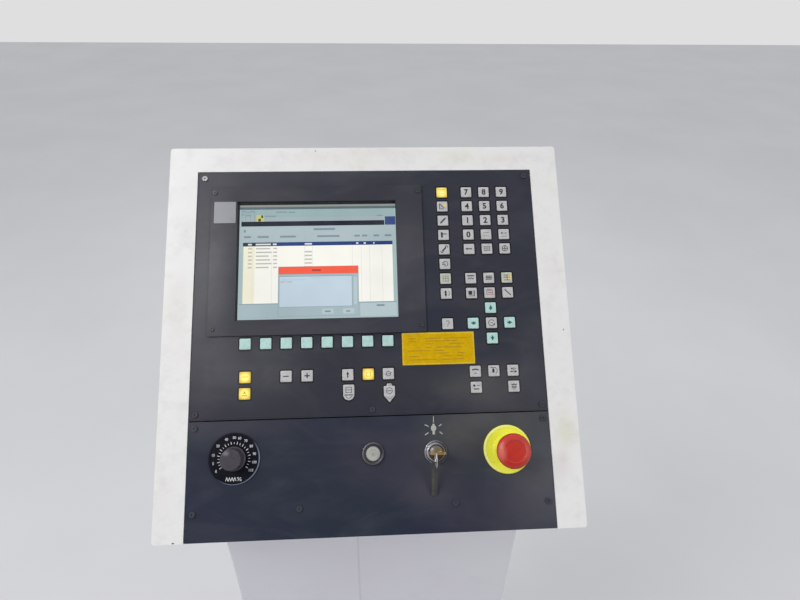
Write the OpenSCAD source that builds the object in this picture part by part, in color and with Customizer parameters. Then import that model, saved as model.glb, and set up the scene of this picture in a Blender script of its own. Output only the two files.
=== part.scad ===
// Operator console of a sheet-metal punching machine: a raked control head on a floor column.
// +Z is up, -Y is the operator's side, and the origin is on the floor under the middle of the console.
// Millimetres throughout.

/* [Control head] */
// Width of the raked operator face
head_w = 530; // [520:1:540]
// Height of the operator face, measured along its slope
face_h = 508; // [506:1:512]
// Rake of the operator face, degrees from horizontal
face_tilt = 45; // [44:1:46]
// Width of the white border at each side of the face
side_border = 37.3; // [36:0.1:38]
// Width of the white border along the top of the face
top_border = 34.3; // [33:0.1:36]
// Depth of the head from its lower front edge to its rear wall
head_d = 437; // [430:1:445]
// How far the underside hangs below the lower front edge
head_drop = 30; // [28:1:34]
// Sheet thickness of the head and the column
sheet = 2; // [1.5:0.25:2.5]

/* [Panels] */
// Where the two dark panels meet, measured up the slope
split_v = 143; // [141:0.5:145]
// Thickness of the dark panels
panel_t = 4; // [3:0.5:4]
// Gap between a dark panel and what surrounds it
panel_gap = 0.8; // [0.5:0.1:1.2]

/* [Display] */
// Width of the lit area
screen_w = 211; // [205:1:212]
// Height of the lit area
screen_h = 158; // [154:1:159]

/* [Keys] */
// Side of one square key field
key_s = 14; // [12:0.5:15]
// Height that a key field stands above the foil
key_rise = 0.9; // [0.5:0.1:1.4]

/* [Column] */
// Width of the floor column
column_w = 410; // [400:1:420]
// Depth of the floor column
column_d = 300; // [280:5:310]
// Setback of the column behind the lower front edge of the head
column_back = 64; // [60:1:70]
// Height of the lower front edge of the face above the floor
edge_z = 1000; // [950:10:1050]

/* [Hidden] */
$fn = 48;
W = head_w;
H = face_h;
ca = cos(face_tilt);
sa = sin(face_tilt);
y0 = -227;                       // lower front edge of the face
z0 = edge_z;
e = 0.01;

// a point of the face (v up the slope, n out of it) in the head's side view
function yz(v, n) = [v * ca - n * sa, v * sa + n * ca];
// side view of the head, moved inwards by t
function side(t) =
  let (d = head_d - t, b = -head_drop + t, v2 = H - t, n2 = (v2 * ca - d) / sa, n5 = (b - t * sa) / ca)
  [yz(t, -t), yz(H - t, -t), [d, v2 * sa + n2 * ca], [d, b], [t * ca - n5 * sa, b]];

// children in face coordinates: x across, y up the slope, z out of the face
module face() translate([-W / 2, y0, z0]) rotate([face_tilt, 0, 0]) children();
// children in head coordinates: x from the middle, y back from the lower edge, z up from it
module head() translate([0, y0, z0]) children();
module side_prism(pts, w) head() translate([-w / 2, 0, 0]) rotate([90, 0, 90]) linear_extrude(w) polygon(pts);
module at(u, v, n = 0) translate([u, v, n]) children();
module box(lo, hi) translate(lo) cube([hi[0] - lo[0], hi[1] - lo[1], hi[2] - lo[2]]);
module rod(r, n0, n1) translate([0, 0, n0]) cylinder(r = r, h = n1 - n0);
module hexrod(af, n0, n1) translate([0, 0, n0]) cylinder(r = af / 2 / cos(30), h = n1 - n0, $fn = 6);
module round_rect(w, h, r) {
  translate([r, 0]) square([w - 2 * r, h]);
  translate([0, r]) square([w, h - 2 * r]);
  for (x = [r, w - r], y = [r, h - r]) translate([x, y]) circle(r);
}
module plate(lo, hi, r) translate(lo) linear_extrude(hi[2] - lo[2]) round_rect(hi[0] - lo[0], hi[1] - lo[1], r);

// positions on the face
dial_at = [95.4, 97];
button_at = [266.4, 97.3];
key_at = [344.9, 96.6];
estop_at = [435.6, 97.2];
upper_screws = [[47.2, 464.1], [W - 47.2, 464.1], [45.5, 151.5], [266.5, 151.5], [W - 45.5, 151.5]];
lower_screws = [[45.5, 134.5], [W - 45.5, 134.5], [46.5, 33], [175.2, 35.1], [367.2, 35.1], [W - 46.5, 33]];
screw_hole = 2.05;

// display
win_lo = [91.5, 269];
win_hi = [303.8, 430.5];
bez_lo = [57, 249];
bez_hi = [339.5, 452];
bezel_screw_at = [[61.8, 442.8], [334.7, 442.8], [63.2, 258.3], [333.5, 258.3]];

// key grid
kx = [401.3, 425.6, 449.9];
ka = 367.5;
function krow(j) = 441.2 - 20.25 * j;
keys_square = concat(
  [for (j = [0 : 4], x = kx) [x, krow(j)]],
  [for (j = [6 : 7], x = kx) [x, krow(j)]],
  [[kx[1], krow(8)], [kx[0], krow(9)], [kx[1], krow(9)], [kx[2], krow(9)], [kx[1], krow(10)]],
  [for (j = [0 : 7]) [ka, krow(j)]], [[ka, krow(9)]],
  [for (k = [0 : 7]) [105.4 + 26.15 * k, 238.5]],
  [for (u = [106.2, 157.8, 184.4, 236, 262.3, 288, 400.7, 424.9, 449.9]) [u, 196]],
  [[106.1, 175.6], [400.8, 175.5], [449.8, 175.5]]);
start_key = [237, 172.8];
stop_key = [288.7, 172.3];

// ---------------------------------------------------------------- head casing

module head_shell() color("gainsboro") difference() {
  union() {
    difference() {
      intersection() {
        side_prism(side(0), W);
        face() plate([0, 0, -600], [W, H, 10], 4);
      }
      side_prism(side(sheet), W - 2 * sheet);
      face() box([side_border, 3, -sheet - 1], [W - side_border, H - top_border, 1]);
      face() box([side_border, -1, -5], [W - side_border, 4, 1]);
    }
    face() {
      // returns that step the panels back from the border
      box([side_border - 2, 2, -7], [side_border, H - top_border + 2, -e]);
      box([W - side_border, 2, -7], [W - side_border + 2, H - top_border + 2, -e]);
      box([side_border - 2, H - top_border, -7], [W - side_border + 2, H - top_border + 2, -e]);
      // ledge that the panels are screwed to
      box([side_border - 2, 1, -7], [55, H - top_border + 2, -5]);
      box([W - 55, 1, -7], [W - side_border + 2, H - top_border + 2, -5]);
      box([side_border - 2, H - top_border - 16, -7], [W - side_border + 2, H - top_border + 2, -5]);
      box([side_border - 2, 1, -7], [W - side_border + 2, 20, -5]);
    }
  }
  face() for (p = concat(upper_screws, lower_screws)) at(p[0], p[1]) rod(screw_hole, -9, -3);
  // rear service opening
  head() box([-235, head_d - sheet - 1, 0], [235, head_d + 1, 252]);
  // cable opening and bolt holes over the column
  head() box([-100, column_back + 32, -head_drop - 1], [100, column_back + 84, -head_drop + sheet + 1]);
  head() for (x = [-150, 150], y = [column_back + 17, column_back + column_d - 17])
    translate([x, y]) rod(4.5, -head_drop - 1, -head_drop + sheet + 1);
  // air slots in both side walls
  head() for (s = [-1, 1], k = [0 : 7])
    box([s * W / 2 - 4, 300, 117 + 9.5 * k], [s * W / 2 + 4, 370, 121 + 9.5 * k]);
}

module panel_crossbar() color("silver") face() difference() {
  box([55, split_v - 11, -8], [W - 55, split_v + 11, -5]);
  at(266.5, 151.5) rod(screw_hole, -9, -3);
}

module upper_panel() color([0.23, 0.23, 0.27]) face() difference() {
  box([side_border + panel_gap, split_v + 0.7, -1 - panel_t], [W - side_border - panel_gap, H - top_border - panel_gap, -1]);
  // display opening, stepped for the glass
  box([win_lo[0] - 3, win_lo[1] - 3, -2 - panel_t], [win_hi[0] + 3, win_hi[1] + 3, 1]);
  // openings behind the key groups
  box([ka - 9, krow(9) - 9, -2 - panel_t], [ka + 9, krow(0) + 9, 1]);
  box([kx[0] - 9, krow(10) - 9, -2 - panel_t], [kx[2] + 9, krow(0) + 9, 1]);
  box([96, 229.5, -2 - panel_t], [298, 247.5, 1]);
  for (g = [[97, 115], [149, 193], [227, 297], [391.5, 459]])
    box([g[0], 162, -2 - panel_t], [g[1], 205, 1]);
  for (p = upper_screws) at(p[0], p[1]) rod(2.3, -9, 1);
  for (p = bezel_screw_at) at(p[0], p[1]) rod(1.55, -9, 1);
}

module lower_panel() color([0.23, 0.23, 0.27]) face() difference() {
  box([side_border + panel_gap, 0.3, -1 - panel_t], [W - side_border - panel_gap, split_v - 0.7, -1]);
  for (p = lower_screws) at(p[0], p[1]) rod(2.3, -9, 1);
  at(dial_at[0], dial_at[1]) rod(5.2, -9, 1);
  for (p = [button_at, key_at, estop_at]) at(p[0], p[1]) rod(11.2, -9, 1);
}

// one printed foil over the whole upper panel; its key fields are embossed
module key_overlay() color([0.2, 0.2, 0.24]) face() {
  difference() {
    box([side_border + 1.6, split_v + 2.4, -1], [W - side_border - 1.6, H - top_border - 1.6, -0.6]);
    box([bez_lo[0] - 0.3, bez_lo[1] - 0.3, -2], [bez_hi[0] + 0.3, bez_hi[1] + 0.3, 1]);
    for (p = upper_screws) at(p[0], p[1]) rod(4.2, -2, 1);
  }
  for (p = keys_square)
    plate([p[0] - key_s / 2, p[1] - key_s / 2, -0.65], [p[0] + key_s / 2, p[1] + key_s / 2, -0.6 + key_rise], 1);
  // start key: flat top, round foot
  at(start_key[0], start_key[1], -0.65) linear_extrude(key_rise + 0.05) {
    translate([-7, -2]) square([14, 12.5]);
    translate([0, -2]) circle(7);
  }
  // stop key: five-sided, point down, with a tab on top
  at(stop_key[0], stop_key[1], -0.65) linear_extrude(key_rise + 0.05)
    polygon([[-7, 8], [-3, 8], [-3, 11], [3, 11], [3, 8], [7, 8], [7, -4], [0, -12.5], [-7, -4]]);
}

module snap_dome() { rod(4, -7 - e, -1.6); rod(2, -1.7, -1.2); }

module keypad_board() color("darkgreen") face() {
  box([ka - 13, krow(10) - 12, -8.6], [kx[2] + 13, krow(0) + 12, -7]);
  for (j = [0 : 7]) at(ka, krow(j)) snap_dome();
  at(ka, krow(9)) snap_dome();
  for (j = [0, 1, 2, 3, 4, 6, 7], x = kx) at(x, krow(j)) snap_dome();
  for (p = [[kx[1], krow(8)], [kx[0], krow(9)], [kx[1], krow(9)], [kx[2], krow(9)], [kx[1], krow(10)]])
    at(p[0], p[1]) snap_dome();
  // spacers that hold it off the panel, and its plug
  for (u = [ka + 14.5, kx[2] + 11], v = [krow(10) - 9.6, krow(0) + 9.6]) at(u, v) rod(1.6, -7 - e, -5.05);
  box([400, 330, -16], [440, 342, -8.6 + e]);
}

module machine_key_board() color("darkgreen") face() {
  box([90, 160, -8.6], [462, 208, -7]);
  box([90, 207, -8.6], [302, 250, -7]);
  for (k = [0 : 7]) at(105.4 + 26.15 * k, 238.5) snap_dome();
  for (u = [106.2, 157.8, 184.4, 236, 262.3, 288, 400.7, 424.9, 449.9]) at(u, 196) snap_dome();
  for (p = [[106.1, 175.6], [400.8, 175.5], [449.8, 175.5], start_key, stop_key]) at(p[0], p[1]) snap_dome();
  for (u = [92.5, 345], v = [163, 200]) at(u, v) rod(1.6, -7 - e, -5.05);
  box([320, 170, -16], [370, 182, -8.6 + e]);
}

// ---------------------------------------------------------------- display

module display_bezel() color([0.25, 0.25, 0.29]) face() difference() {
  plate([bez_lo[0], bez_lo[1], -1], [bez_hi[0], bez_hi[1], 1.5], 2);
  box([win_lo[0], win_lo[1], -2], [win_hi[0], win_hi[1], 3]);
  for (p = bezel_screw_at) at(p[0], p[1]) rod(1.75, -3, 3);
}

module display_window() color([0.8, 0.9, 0.95, 0.3]) face()
  box([win_lo[0] - 2.5, win_lo[1] - 2.5, -3], [win_hi[0] + 2.5, win_hi[1] + 2.5, -1.02]);

module display_gasket() color([0.05, 0.05, 0.05]) face() difference() {
  box([win_lo[0] - 2.5, win_lo[1] - 2.5, -8], [win_hi[0] + 2.5, win_hi[1] + 2.5, -3]);
  box([win_lo[0] + 0.2, win_lo[1] + 0.2, -9], [win_hi[0] - 0.2, win_hi[1] - 0.2, -2]);
}

module display_module() color([0.6, 0.62, 0.64]) face() {
  difference() {
    box([win_lo[0] - 7.5, win_lo[1] - 7.5, -19], [win_hi[0] + 10.5, win_hi[1] + 7.5, -8]);
    box([198.1 - screen_w / 2, 350 - screen_h / 2, -9], [198.1 + screen_w / 2, 350 + screen_h / 2, -7]);
  }
  // driver board and plug on its back
  box([120, 300, -24], [270, 380, -19 + e]);
  box([180, 384, -25], [230, 392, -19 + e]);
  // lugs that reach past the glass and hold it to the panel
  for (v = [286, 408], u = [win_lo[0] - 15.5, win_hi[0] + 10.5]) box([u, v, -10], [u + 8, v + 10, -8]);
  for (v = [291, 413], u = [win_lo[0] - 11.5, win_hi[0] + 14.5]) at(u, v) rod(2, -8.05, -5.05);
}

module screw_m4(n) { difference() { rod(3.6, n, n + 1.8); at(0, 0, n + 0.9) linear_extrude(2) for (a = [0, 90]) rotate(a) square([4, 0.9], center = true); } rod(1.95, n - 7, n + 0.1); }
module screw_m3(n) { difference() { rod(2.8, n, n + 1.3); at(0, 0, n + 0.6) linear_extrude(2) for (a = [0, 90]) rotate(a) square([3, 0.8], center = true); } rod(1.45, n - 5, n + 0.1); }

module panel_screws() color("darkgray") face() for (p = concat(upper_screws, lower_screws)) at(p[0], p[1], -1) screw_m4(0);
module bezel_screws() color("dimgray") face() for (p = bezel_screw_at) at(p[0], p[1], 1.5) screw_m3(0);
module nameplate() color("lightgray") face() plate([61.4, 400, 1.5], [90, 430, 2.2], 0.8);
module notice_plate() color("gold") face() plate([306.6, 206, -0.6], [401.2, 248, -0.2], 1);

// ---------------------------------------------------------------- override dial

module dial_plate() color([0.06, 0.06, 0.07]) face() at(dial_at[0], dial_at[1]) difference() {
  rotate_extrude($fn = 96) polygon([[0, -1], [31.3, -1], [31.3, 0.6], [29.9, 2], [0, 2]]);
  rod(5.2, -2, 3);
}
module dial_nut() color("silver") face() at(dial_at[0], dial_at[1]) difference() { hexrod(13, 2, 4.6); rod(5.04, 1, 6); }
module dial_knob() color([0.12, 0.12, 0.13]) face() at(dial_at[0], dial_at[1]) difference() {
  union() {
    rotate_extrude($fn = 96) polygon([[0, 2.6], [14.6, 2.6], [14.6, 5], [13.6, 5.6], [12.6, 20], [11.6, 21.2], [0, 21.2]]);
    rotate(-56.25) box([-0.6, 4, 21], [0.6, 11.4, 21.5]);
  }
  rod(9, 2, 7.5);
  rod(3.03, 7, 18.02);
}
module dial_shaft() color("silver") face() at(dial_at[0], dial_at[1]) rod(3, -26, 18);
module dial_switch() color([0.2, 0.2, 0.2]) face() at(dial_at[0], dial_at[1]) difference() {
  union() {
    box([-16, -16, -34], [16, 16, -8.2]);
    rod(9, -8.3, -5.02);
    rod(5, -9, 6.4);
    for (k = [0 : 5]) box([-14 + 5 * k, -19, -30], [-12 + 5 * k, -15.9, -20]);
  }
  rod(3.05, -27, 8);
}

// ---------------------------------------------------------------- push button

// flange and threaded barrel of a 22 mm control, with its bore
module ring_body(r, n_top, bore) difference() {
  rotate_extrude($fn = 96) polygon([[bore, -1], [r, -1], [r, n_top - 1.5], [r - 1.5, n_top], [bore, n_top]]);
}
module button_body() color("silver") face() at(button_at[0], button_at[1]) difference() {
  union() {
    rotate_extrude($fn = 96) polygon([[0, -1], [13.7, -1], [13.7, 1.4], [13.1, 2.2], [12.5, 2.2], [10.4, 1.1], [0, 1.1]]);
    rod(11, -20, -0.9);
  }
  rod(8.9, -21, 4);
}
module button_lens() color([0.85, 0.86, 0.82]) face() at(button_at[0], button_at[1]) union() {
  rotate_extrude($fn = 96) polygon([[0, -12], [8.85, -12], [8.85, 3.2], [8.1, 4.4], [5.6, 4.4], [4.9, 3.9], [2.2, 3.9], [1.6, 4.4], [0, 4.4]]);
  rod(2, -18, -12 + e);
}
module contact_block(w, h, n0, n1) {
  difference() {
    box([-w / 2, -h / 2, n0], [w / 2, h / 2, n1]);
    for (s = [-1, 1], x = [-7, 7]) at(x, s * (h / 2 - 4)) rod(2.4, n0 - 1, n0 + 3);
    for (s = [-1, 1]) box([-w, s * h / 2 - 1, n0 - 1], [w, s * h / 2 + 1, n0 + 9]);
  }
}
module button_contacts() color([0.25, 0.25, 0.26]) face() at(button_at[0], button_at[1]) contact_block(29, 38, -50, -22.1);

// ---------------------------------------------------------------- key switch

module key_body() color("silver") face() at(key_at[0], key_at[1]) difference() {
  union() {
    rotate_extrude($fn = 96) polygon([[0, -1], [14.4, -1], [14.4, 1.4], [13.8, 2.2], [13.1, 2.2], [12.2, 1.5], [11.8, 1.5], [11.6, 4.4], [10.8, 5.4], [0, 5.4]]);
    rod(11, -20, -0.9);
  }
  rod(8.5, -21, 6);
}
module key_rotor() color("lightgray") face() at(key_at[0], key_at[1]) difference() {
  union() { rod(8.44, -20, 5); rod(6.4, 4.9, 6.4); }
  box([-4.6, -1.3, -12], [4.6, 1.3, 8]);
}
// the slot lies across the face, so the bow is seen edge on from above
module switch_key() color("burlywood") face() at(key_at[0], key_at[1]) difference() {
  union() {
    box([-4.2, -1, -11], [4.2, 1, 9]);
    rotate([90, 0, 0]) translate([0, 0, -1.5]) linear_extrude(3) difference() {
      polygon([[-4.2, 8], [4.2, 8], [10, 12], [10, 24], [8, 26.9], [-8, 26.9], [-10, 24], [-10, 12]]);
      translate([-3.2, 13.7]) square([6.4, 8.4]);
      for (u = [-3.2, 3.2]) translate([u, 17.9]) circle(4.2);
    }
  }
  for (k = [0 : 3]) box([4.2 - 1.1, -2, -9 + 4 * k], [5, 2, -7 + 4 * k]);
}
ring_u = -2.6;                   // plane of the split ring, left of the key's axis
ring_c = [-7, 24];               // ring centre in that plane (up the slope, out of the face)
ring_r = 10;
module key_ring() color("silver") face() at(key_at[0], key_at[1])
  translate([ring_u, ring_c[0], ring_c[1]]) rotate([0, 90, 0]) rotate_extrude($fn = 64) translate([ring_r, 0]) circle(0.8, $fn = 24);
// strap from the foot of the ring down to the panel
tag_end = [-52, -0.05];
tag_foot = ring_c - ring_r * [sqrt(0.5), sqrt(0.5)];
tag_dir = (tag_end - tag_foot) / norm(tag_end - tag_foot);
tag_top = tag_foot + 1.2 * tag_dir;
tag_len = norm(tag_top - tag_end);
tag_a = atan2(tag_end[1] - tag_top[1], tag_end[0] - tag_top[0]) ;
module key_tag() color([0.32, 0.32, 0.33]) face() at(key_at[0], key_at[1])
  translate([ring_u - 1.2, tag_top[0], tag_top[1]]) rotate([180 + tag_a, 0, 0]) difference() {
    translate([0, 0, -0.5]) linear_extrude(1) {
      translate([-3.6, -tag_len]) square([7.2, tag_len]);
      circle(5.5);
    }
    rod(3.6, -3, 3);
  }
module key_contacts() color([0.25, 0.25, 0.26]) face() at(key_at[0], key_at[1]) contact_block(29, 38, -50, -22.1);

// ---------------------------------------------------------------- emergency stop

module estop_plate() color([0.86, 0.88, 0.24]) face() at(estop_at[0], estop_at[1]) difference() {
  rotate_extrude($fn = 128) polygon([[0, -1], [30, -1], [30, 1.2], [29.2, 2], [27.2, 2], [26.6, 1.5], [0, 1.5]]);
  rod(11.2, -2, 3);
}
module estop_body() color([0.86, 0.86, 0.24]) face() at(estop_at[0], estop_at[1]) difference() {
  union() {
    rotate_extrude($fn = 96) polygon([[0, 1.5], [18.5, 1.5], [18.5, 3], [17.2, 4.5], [15.5, 13], [14.6, 14], [0, 14]]);
    rod(11, -20, 1.6);
  }
  rod(6.05, -21, 15);
}
module estop_stem() color("dimgray") face() at(estop_at[0], estop_at[1]) { rod(6, -21.5, 24); rod(4.5, 23.9, 37); }
module estop_mushroom() color([0.74, 0.13, 0.1]) face() at(estop_at[0], estop_at[1]) difference() {
  rotate_extrude($fn = 128) polygon([[0, 26], [11, 26], [11, 24.5], [13.5, 24.5], [19.1, 29.5], [20.8, 33], [21, 35.4], [20.1, 38], [17.4, 40.4], [13.4, 41.6], [12.6, 40.9], [0, 41.3]]);
  rod(4.55, 20, 37.2);
  for (k = [0 : 11]) rotate(30 * k) translate([22.5, 0, 22]) cylinder(r = 1.8, h = 16, $fn = 24);
}
module estop_contacts() color([0.25, 0.25, 0.26]) face() at(estop_at[0], estop_at[1]) contact_block(38, 40, -56, -28);

// ring nuts behind the lower panel
module ring_nuts() color([0.3, 0.3, 0.31]) face() for (p = [button_at, key_at, estop_at]) at(p[0], p[1]) difference() {
  hexrod(30, -10, -5.02);
  rod(11.05, -12, -4);
}

// ---------------------------------------------------------------- inside the head

module mounting_plate() color("silver") head() difference() {
  union() {
    box([-236, 160, -22], [236, 424, -20]);
    for (x = [-226, 226], y = [172, 412]) translate([x, y]) rod(5, -head_drop + sheet, -21.9);
  }
  for (x = [-150, 150]) translate([x, column_back + column_d - 17]) rod(14, -30, -10);
}
module control_computer() color([0.55, 0.57, 0.6]) head() {
  difference() {
    box([-206, 222, -20], [44, 400, 58]);
    box([-204, 224, -18], [42, 398, 56]);
    for (k = [0 : 9]) box([-190 + 11 * k, 399 - 5, 6], [-184 + 11 * k, 401, 40]);
  }
  // cooling fins on the lid, and its plugs
  for (k = [0 : 12]) box([-196 + 11 * k, 236, 58 - e], [-193 + 11 * k, 330, 70]);
  for (k = [0 : 3]) box([-190 + 44 * k, 212, -6], [-160 + 44 * k, 222 + e, 8]);
  for (x = [-214, 44], y = [240, 370]) box([x, y, -20], [x + 8, y + 14, -17]);
}
module power_supply() color([0.75, 0.76, 0.78]) head() {
  difference() {
    box([82, 230, -11.9], [134, 350, 104]);
    box([84, 232, -10], [132, 348, 102]);
    for (k = [0 : 6]) box([92, 244 + 13 * k, 100], [124, 250 + 13 * k, 106]);
  }
  for (k = [0 : 4]) box([86 + 9 * k, 222, 74], [93 + 9 * k, 230 + e, 96]);
}
module din_rail() color("lightsteelblue") head() {
  box([72, 265, -20], [230, 291.5, -18.8]);
  for (y = [265, 290.3]) box([72, y, -20], [230, y + 1.2, -13]);
  for (y = [260.5, 290.3]) box([72, y, -13.2], [230, y + 5.7, -12]);
}
module terminal_blocks() color("lightgray") head() for (k = [0 : 9]) difference() {
  box([142 + 7 * k, 252, -11.9], [148.6 + 7 * k, 304, 26]);
  for (y = [262, 294]) translate([145.3 + 7 * k, y]) rod(2, 18, 27);
}
module wiring_duct() color("lightgray") head() {
  difference() {
    box([-230, 176, -20], [230, 206, 18]);
    box([-231, 178, -18], [231, 204, 19]);
    for (k = [0 : 35]) box([-222 + 12.5 * k, 175, 0], [-216 + 12.5 * k, 207, 19]);
  }
}

// sweep of a round bundle along points
function unit(a) = a / norm(a);
function ring_at(p, d, r, n) =
  let (a = unit(cross(d, abs(d[0]) > 0.9 ? [0, 0, 1] : [1, 0, 0])), b = cross(d, a))
  [for (k = [0 : n - 1]) p + r * (cos(360 * k / n) * a + sin(360 * k / n) * b)];
function smooth(p, t) =
  let (m = len(p) - 1, i = min(floor(t), m - 1), f = t - i, a = p[max(i - 1, 0)], b = p[i], c = p[i + 1], d = p[min(i + 2, m)])
  0.5 * (2 * b + (c - a) * f + (2 * a - 5 * b + 4 * c - d) * f * f + (3 * b - a - 3 * c + d) * f * f * f);
module bundle(p, r, step = 0.25, n = 8) {
  q = [for (t = [0 : step : len(p) - 1 + e]) smooth(p, min(t, len(p) - 1))];
  m = len(q);
  rings = [for (i = [0 : m - 1]) ring_at(q[i], unit(q[min(i + 1, m - 1)] - q[max(i - 1, 0)]), r, n)];
  polyhedron(
    points = [for (g = rings) for (v = g) v],
    faces = concat(
      [[for (k = [n - 1 : -1 : 0]) k]],
      [[for (k = [0 : n - 1]) (m - 1) * n + k]],
      [for (i = [0 : m - 2], k = [0 : n - 1]) [i * n + k, i * n + (k + 1) % n, (i + 1) * n + (k + 1) % n, (i + 1) * n + k]]));
}
loom_pts = [[60, 190, 6], [60, 190, 34], [84, 178, 50], [124, 158, 44], [158, 140, 24], [172, 126, 9.8], [172, 107.8, 27.98]];
module control_loom() color([0.1, 0.1, 0.1]) head() bundle(loom_pts, 4);
display_pts = [[-80, 190, 6], [-80, 190, 40], [-80, 200, 84], [-76, 240, 124], [-68, 290, 168], [-62, 318, 214], [-60, 308, 240.8], [-60, 292.25, 256.53]];
module display_cable() color([0.1, 0.1, 0.1]) head() bundle(display_pts, 3);

// ---------------------------------------------------------------- fan

fan_c = [335, 151.5];
module fan_at() head() translate([-W / 2 + sheet, fan_c[0], fan_c[1]]) rotate([0, 90, 0]) children();
module fan_housing() color([0.12, 0.12, 0.12]) fan_at() {
  difference() {
    box([-40, -40, 0.05], [40, 40, 25]);
    rod(38, -1, 26);
    for (x = [-36, 36], y = [-36, 36]) translate([x, y]) rod(2.2, -1, 26);
  }
  difference() {
    union() {
      rod(16, 21.5, 25);
      for (a = [45 : 90 : 315]) rotate(a) box([15, -2, 22], [39, 2, 25]);
    }
    rod(2.05, 20, 26);
  }
}
module fan_rotor() color([0.16, 0.16, 0.16]) fan_at() {
  rod(15, 3, 20.5);
  rod(2, 20.4, 24.5);
  for (k = [0 : 6]) rotate(360 / 7 * k) translate([14, 0, 11.7]) rotate([38, 0, 0]) box([0, -10.5, -0.7], [22, 10.5, 0.7]);
}

// ---------------------------------------------------------------- rear door

hinge_x = 254;
hinge_y = head_d + 9.4;
door_y0 = head_d + 2;
door_y1 = head_d + 14.5;
hinge_zs = [40, 200];
lock_p = [-224, 126];
module rear_door() color("gainsboro") head() difference() {
  union() {
    box([-248, door_y1 - 1.5, -13], [248, door_y1, 265]);
    for (x = [-248, 246.5]) box([x, door_y0, -13], [x + 1.5, door_y1 - e, 265]);
    for (z = [-13, 263.5]) box([-248, door_y0, z], [248, door_y1 - e, z + 1.5]);
  }
  translate([lock_p[0], 0, lock_p[1]]) rotate([-90, 0, 0]) rod(10.05, head_d, head_d + 30);
}
module door_gasket() color([0.1, 0.1, 0.1]) head() difference() {
  box([-246, head_d + 0.4, -11], [246, door_y1 - 1.5, 263]);
  box([-238, head_d - 1, -3], [238, door_y1, 255]);
}
module hinge_fixed() color("silver") head() for (z = hinge_zs) difference() {
  union() {
    box([250.5, head_d, z - 25], [262.5, head_d + 2, z + 25]);
    for (a = [-25, 8.4]) {
      translate([hinge_x, hinge_y, z + a]) cylinder(r = 5, h = 16.6);
      box([hinge_x - 3, head_d + 1, z + a], [hinge_x + 5, hinge_y, z + a + 16.6]);
    }
  }
  translate([hinge_x, hinge_y, z - 30]) cylinder(r = 2, h = 60);
}
module hinge_moving() color("silver") head() for (z = hinge_zs) difference() {
  union() {
    translate([hinge_x, hinge_y, z - 8]) cylinder(r = 5, h = 16);
    box([248, hinge_y - 2.5, z - 8], [hinge_x, hinge_y + 2.5, z + 8]);
  }
  translate([hinge_x, hinge_y, z - 30]) cylinder(r = 2.05, h = 60);
}
module hinge_pins() color("silver") head() for (z = hinge_zs) translate([hinge_x, hinge_y, z]) {
  translate([0, 0, -25]) cylinder(r = 2, h = 50.1);
  translate([0, 0, 25.02]) cylinder(r = 3, h = 1.5);
}
module lock_at() head() translate([lock_p[0], head_d, lock_p[1]]) rotate([-90, 0, 0]) children();
module door_lock() color("silver") lock_at() difference() {
  union() { rod(10, 4, 14.6); rod(12.5, 14.5, 17); }
  rod(6.05, 3, 18);
}
// spindle with its key slot outside and its cam behind the rear wall, drawn released
module lock_cam() color("dimgray") lock_at() difference() {
  union() {
    rod(6, -7, 16.2);
    translate([0, 0, -7]) linear_extrude(3) { circle(8); translate([-8, -34]) square([16, 34]); }
  }
  box([-1.5, -4, 13], [1.5, 4, 18]);
}

// ---------------------------------------------------------------- column

col_y0 = y0 + column_back;
col_y1 = col_y0 + column_d;
col_top = z0 - head_drop;
module column_box(t, z_lo, z_hi, r)
  translate([0, 0, z_lo]) linear_extrude(z_hi - z_lo)
    translate([-column_w / 2 + t, col_y0 + t]) round_rect(column_w - 2 * t, column_d - 2 * t, r);
module pedestal_column() color([0.86, 0.86, 0.89]) difference() {
  column_box(0, 10, col_top, 4);
  column_box(sheet, 12, col_top - 2, 2);
  column_box(32, 0, z0, 2);
  // butt joint of the folded sheet, left open as a shallow seam
  box([-23.6, col_y0 - 1, 0], [-22.4, col_y0 + 0.6, z0]);
  // access opening and cable entry in the rear wall
  box([-160, col_y1 - sheet - 1, 200], [160, col_y1 + 1, 850]);
  box([-48, col_y1 - sheet - 1, 62], [48, col_y1 + 1, 108]);
  for (x = [-150, 150], y = [col_y0 + 17, col_y1 - 17]) translate([x, y]) rod(4.5, col_top - 5, col_top + 1);
  for (p = cover_screw_at) translate([p[0], 0, p[1]]) rotate([-90, 0, 0]) rod(2.05, col_y1 - 5, col_y1 + 1);
  for (x = [-54, 54]) translate([x, 0, 85]) rotate([-90, 0, 0]) rod(2.05, col_y1 - 5, col_y1 + 1);
}
cover_screw_at = [for (x = [-167, 167], z = [205, 525, 845]) [x, z]];
module column_cover() color([0.86, 0.86, 0.89]) difference() {
  box([-174, col_y1, 190], [174, col_y1 + 2, 860]);
  for (k = [0 : 9]) box([-60, col_y1 - 1, 720 + 10 * k], [60, col_y1 + 3, 724 + 10 * k]);
  for (p = cover_screw_at) translate([p[0], 0, p[1]]) rotate([-90, 0, 0]) rod(2.3, col_y1 - 1, col_y1 + 3);
}
module cover_screws() color("silver") {
  for (p = cover_screw_at) translate([p[0], col_y1 + 2, p[1]]) rotate([-90, 0, 0]) screw_m4(0);
  for (x = [-54, 54]) translate([x, col_y1 + 2.5, 85]) rotate([-90, 0, 0]) screw_m4(0);
}
module base_plate() color([0.4, 0.41, 0.43]) difference() {
  translate([0, 0, 0]) linear_extrude(10) translate([-235, y0 + 12]) round_rect(470, 402, 12);
  for (x = [-215, 215], y = [y0 + 34, y0 + 392]) translate([x, y]) rod(7, -1, 11);
  box([-60, y0 + 150, -1], [60, y0 + 280, 11]);
}
module head_bolts() color("silver") head() for (x = [-150, 150], y = [column_back + 17, column_back + column_d - 17])
  translate([x, y, -head_drop]) {
    hexrod(13, 2, 7.3);
    rod(4, -11, 2.1);
    difference() { hexrod(13, -8.8, -2); rod(4.02, -10, -1); }
  }
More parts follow.
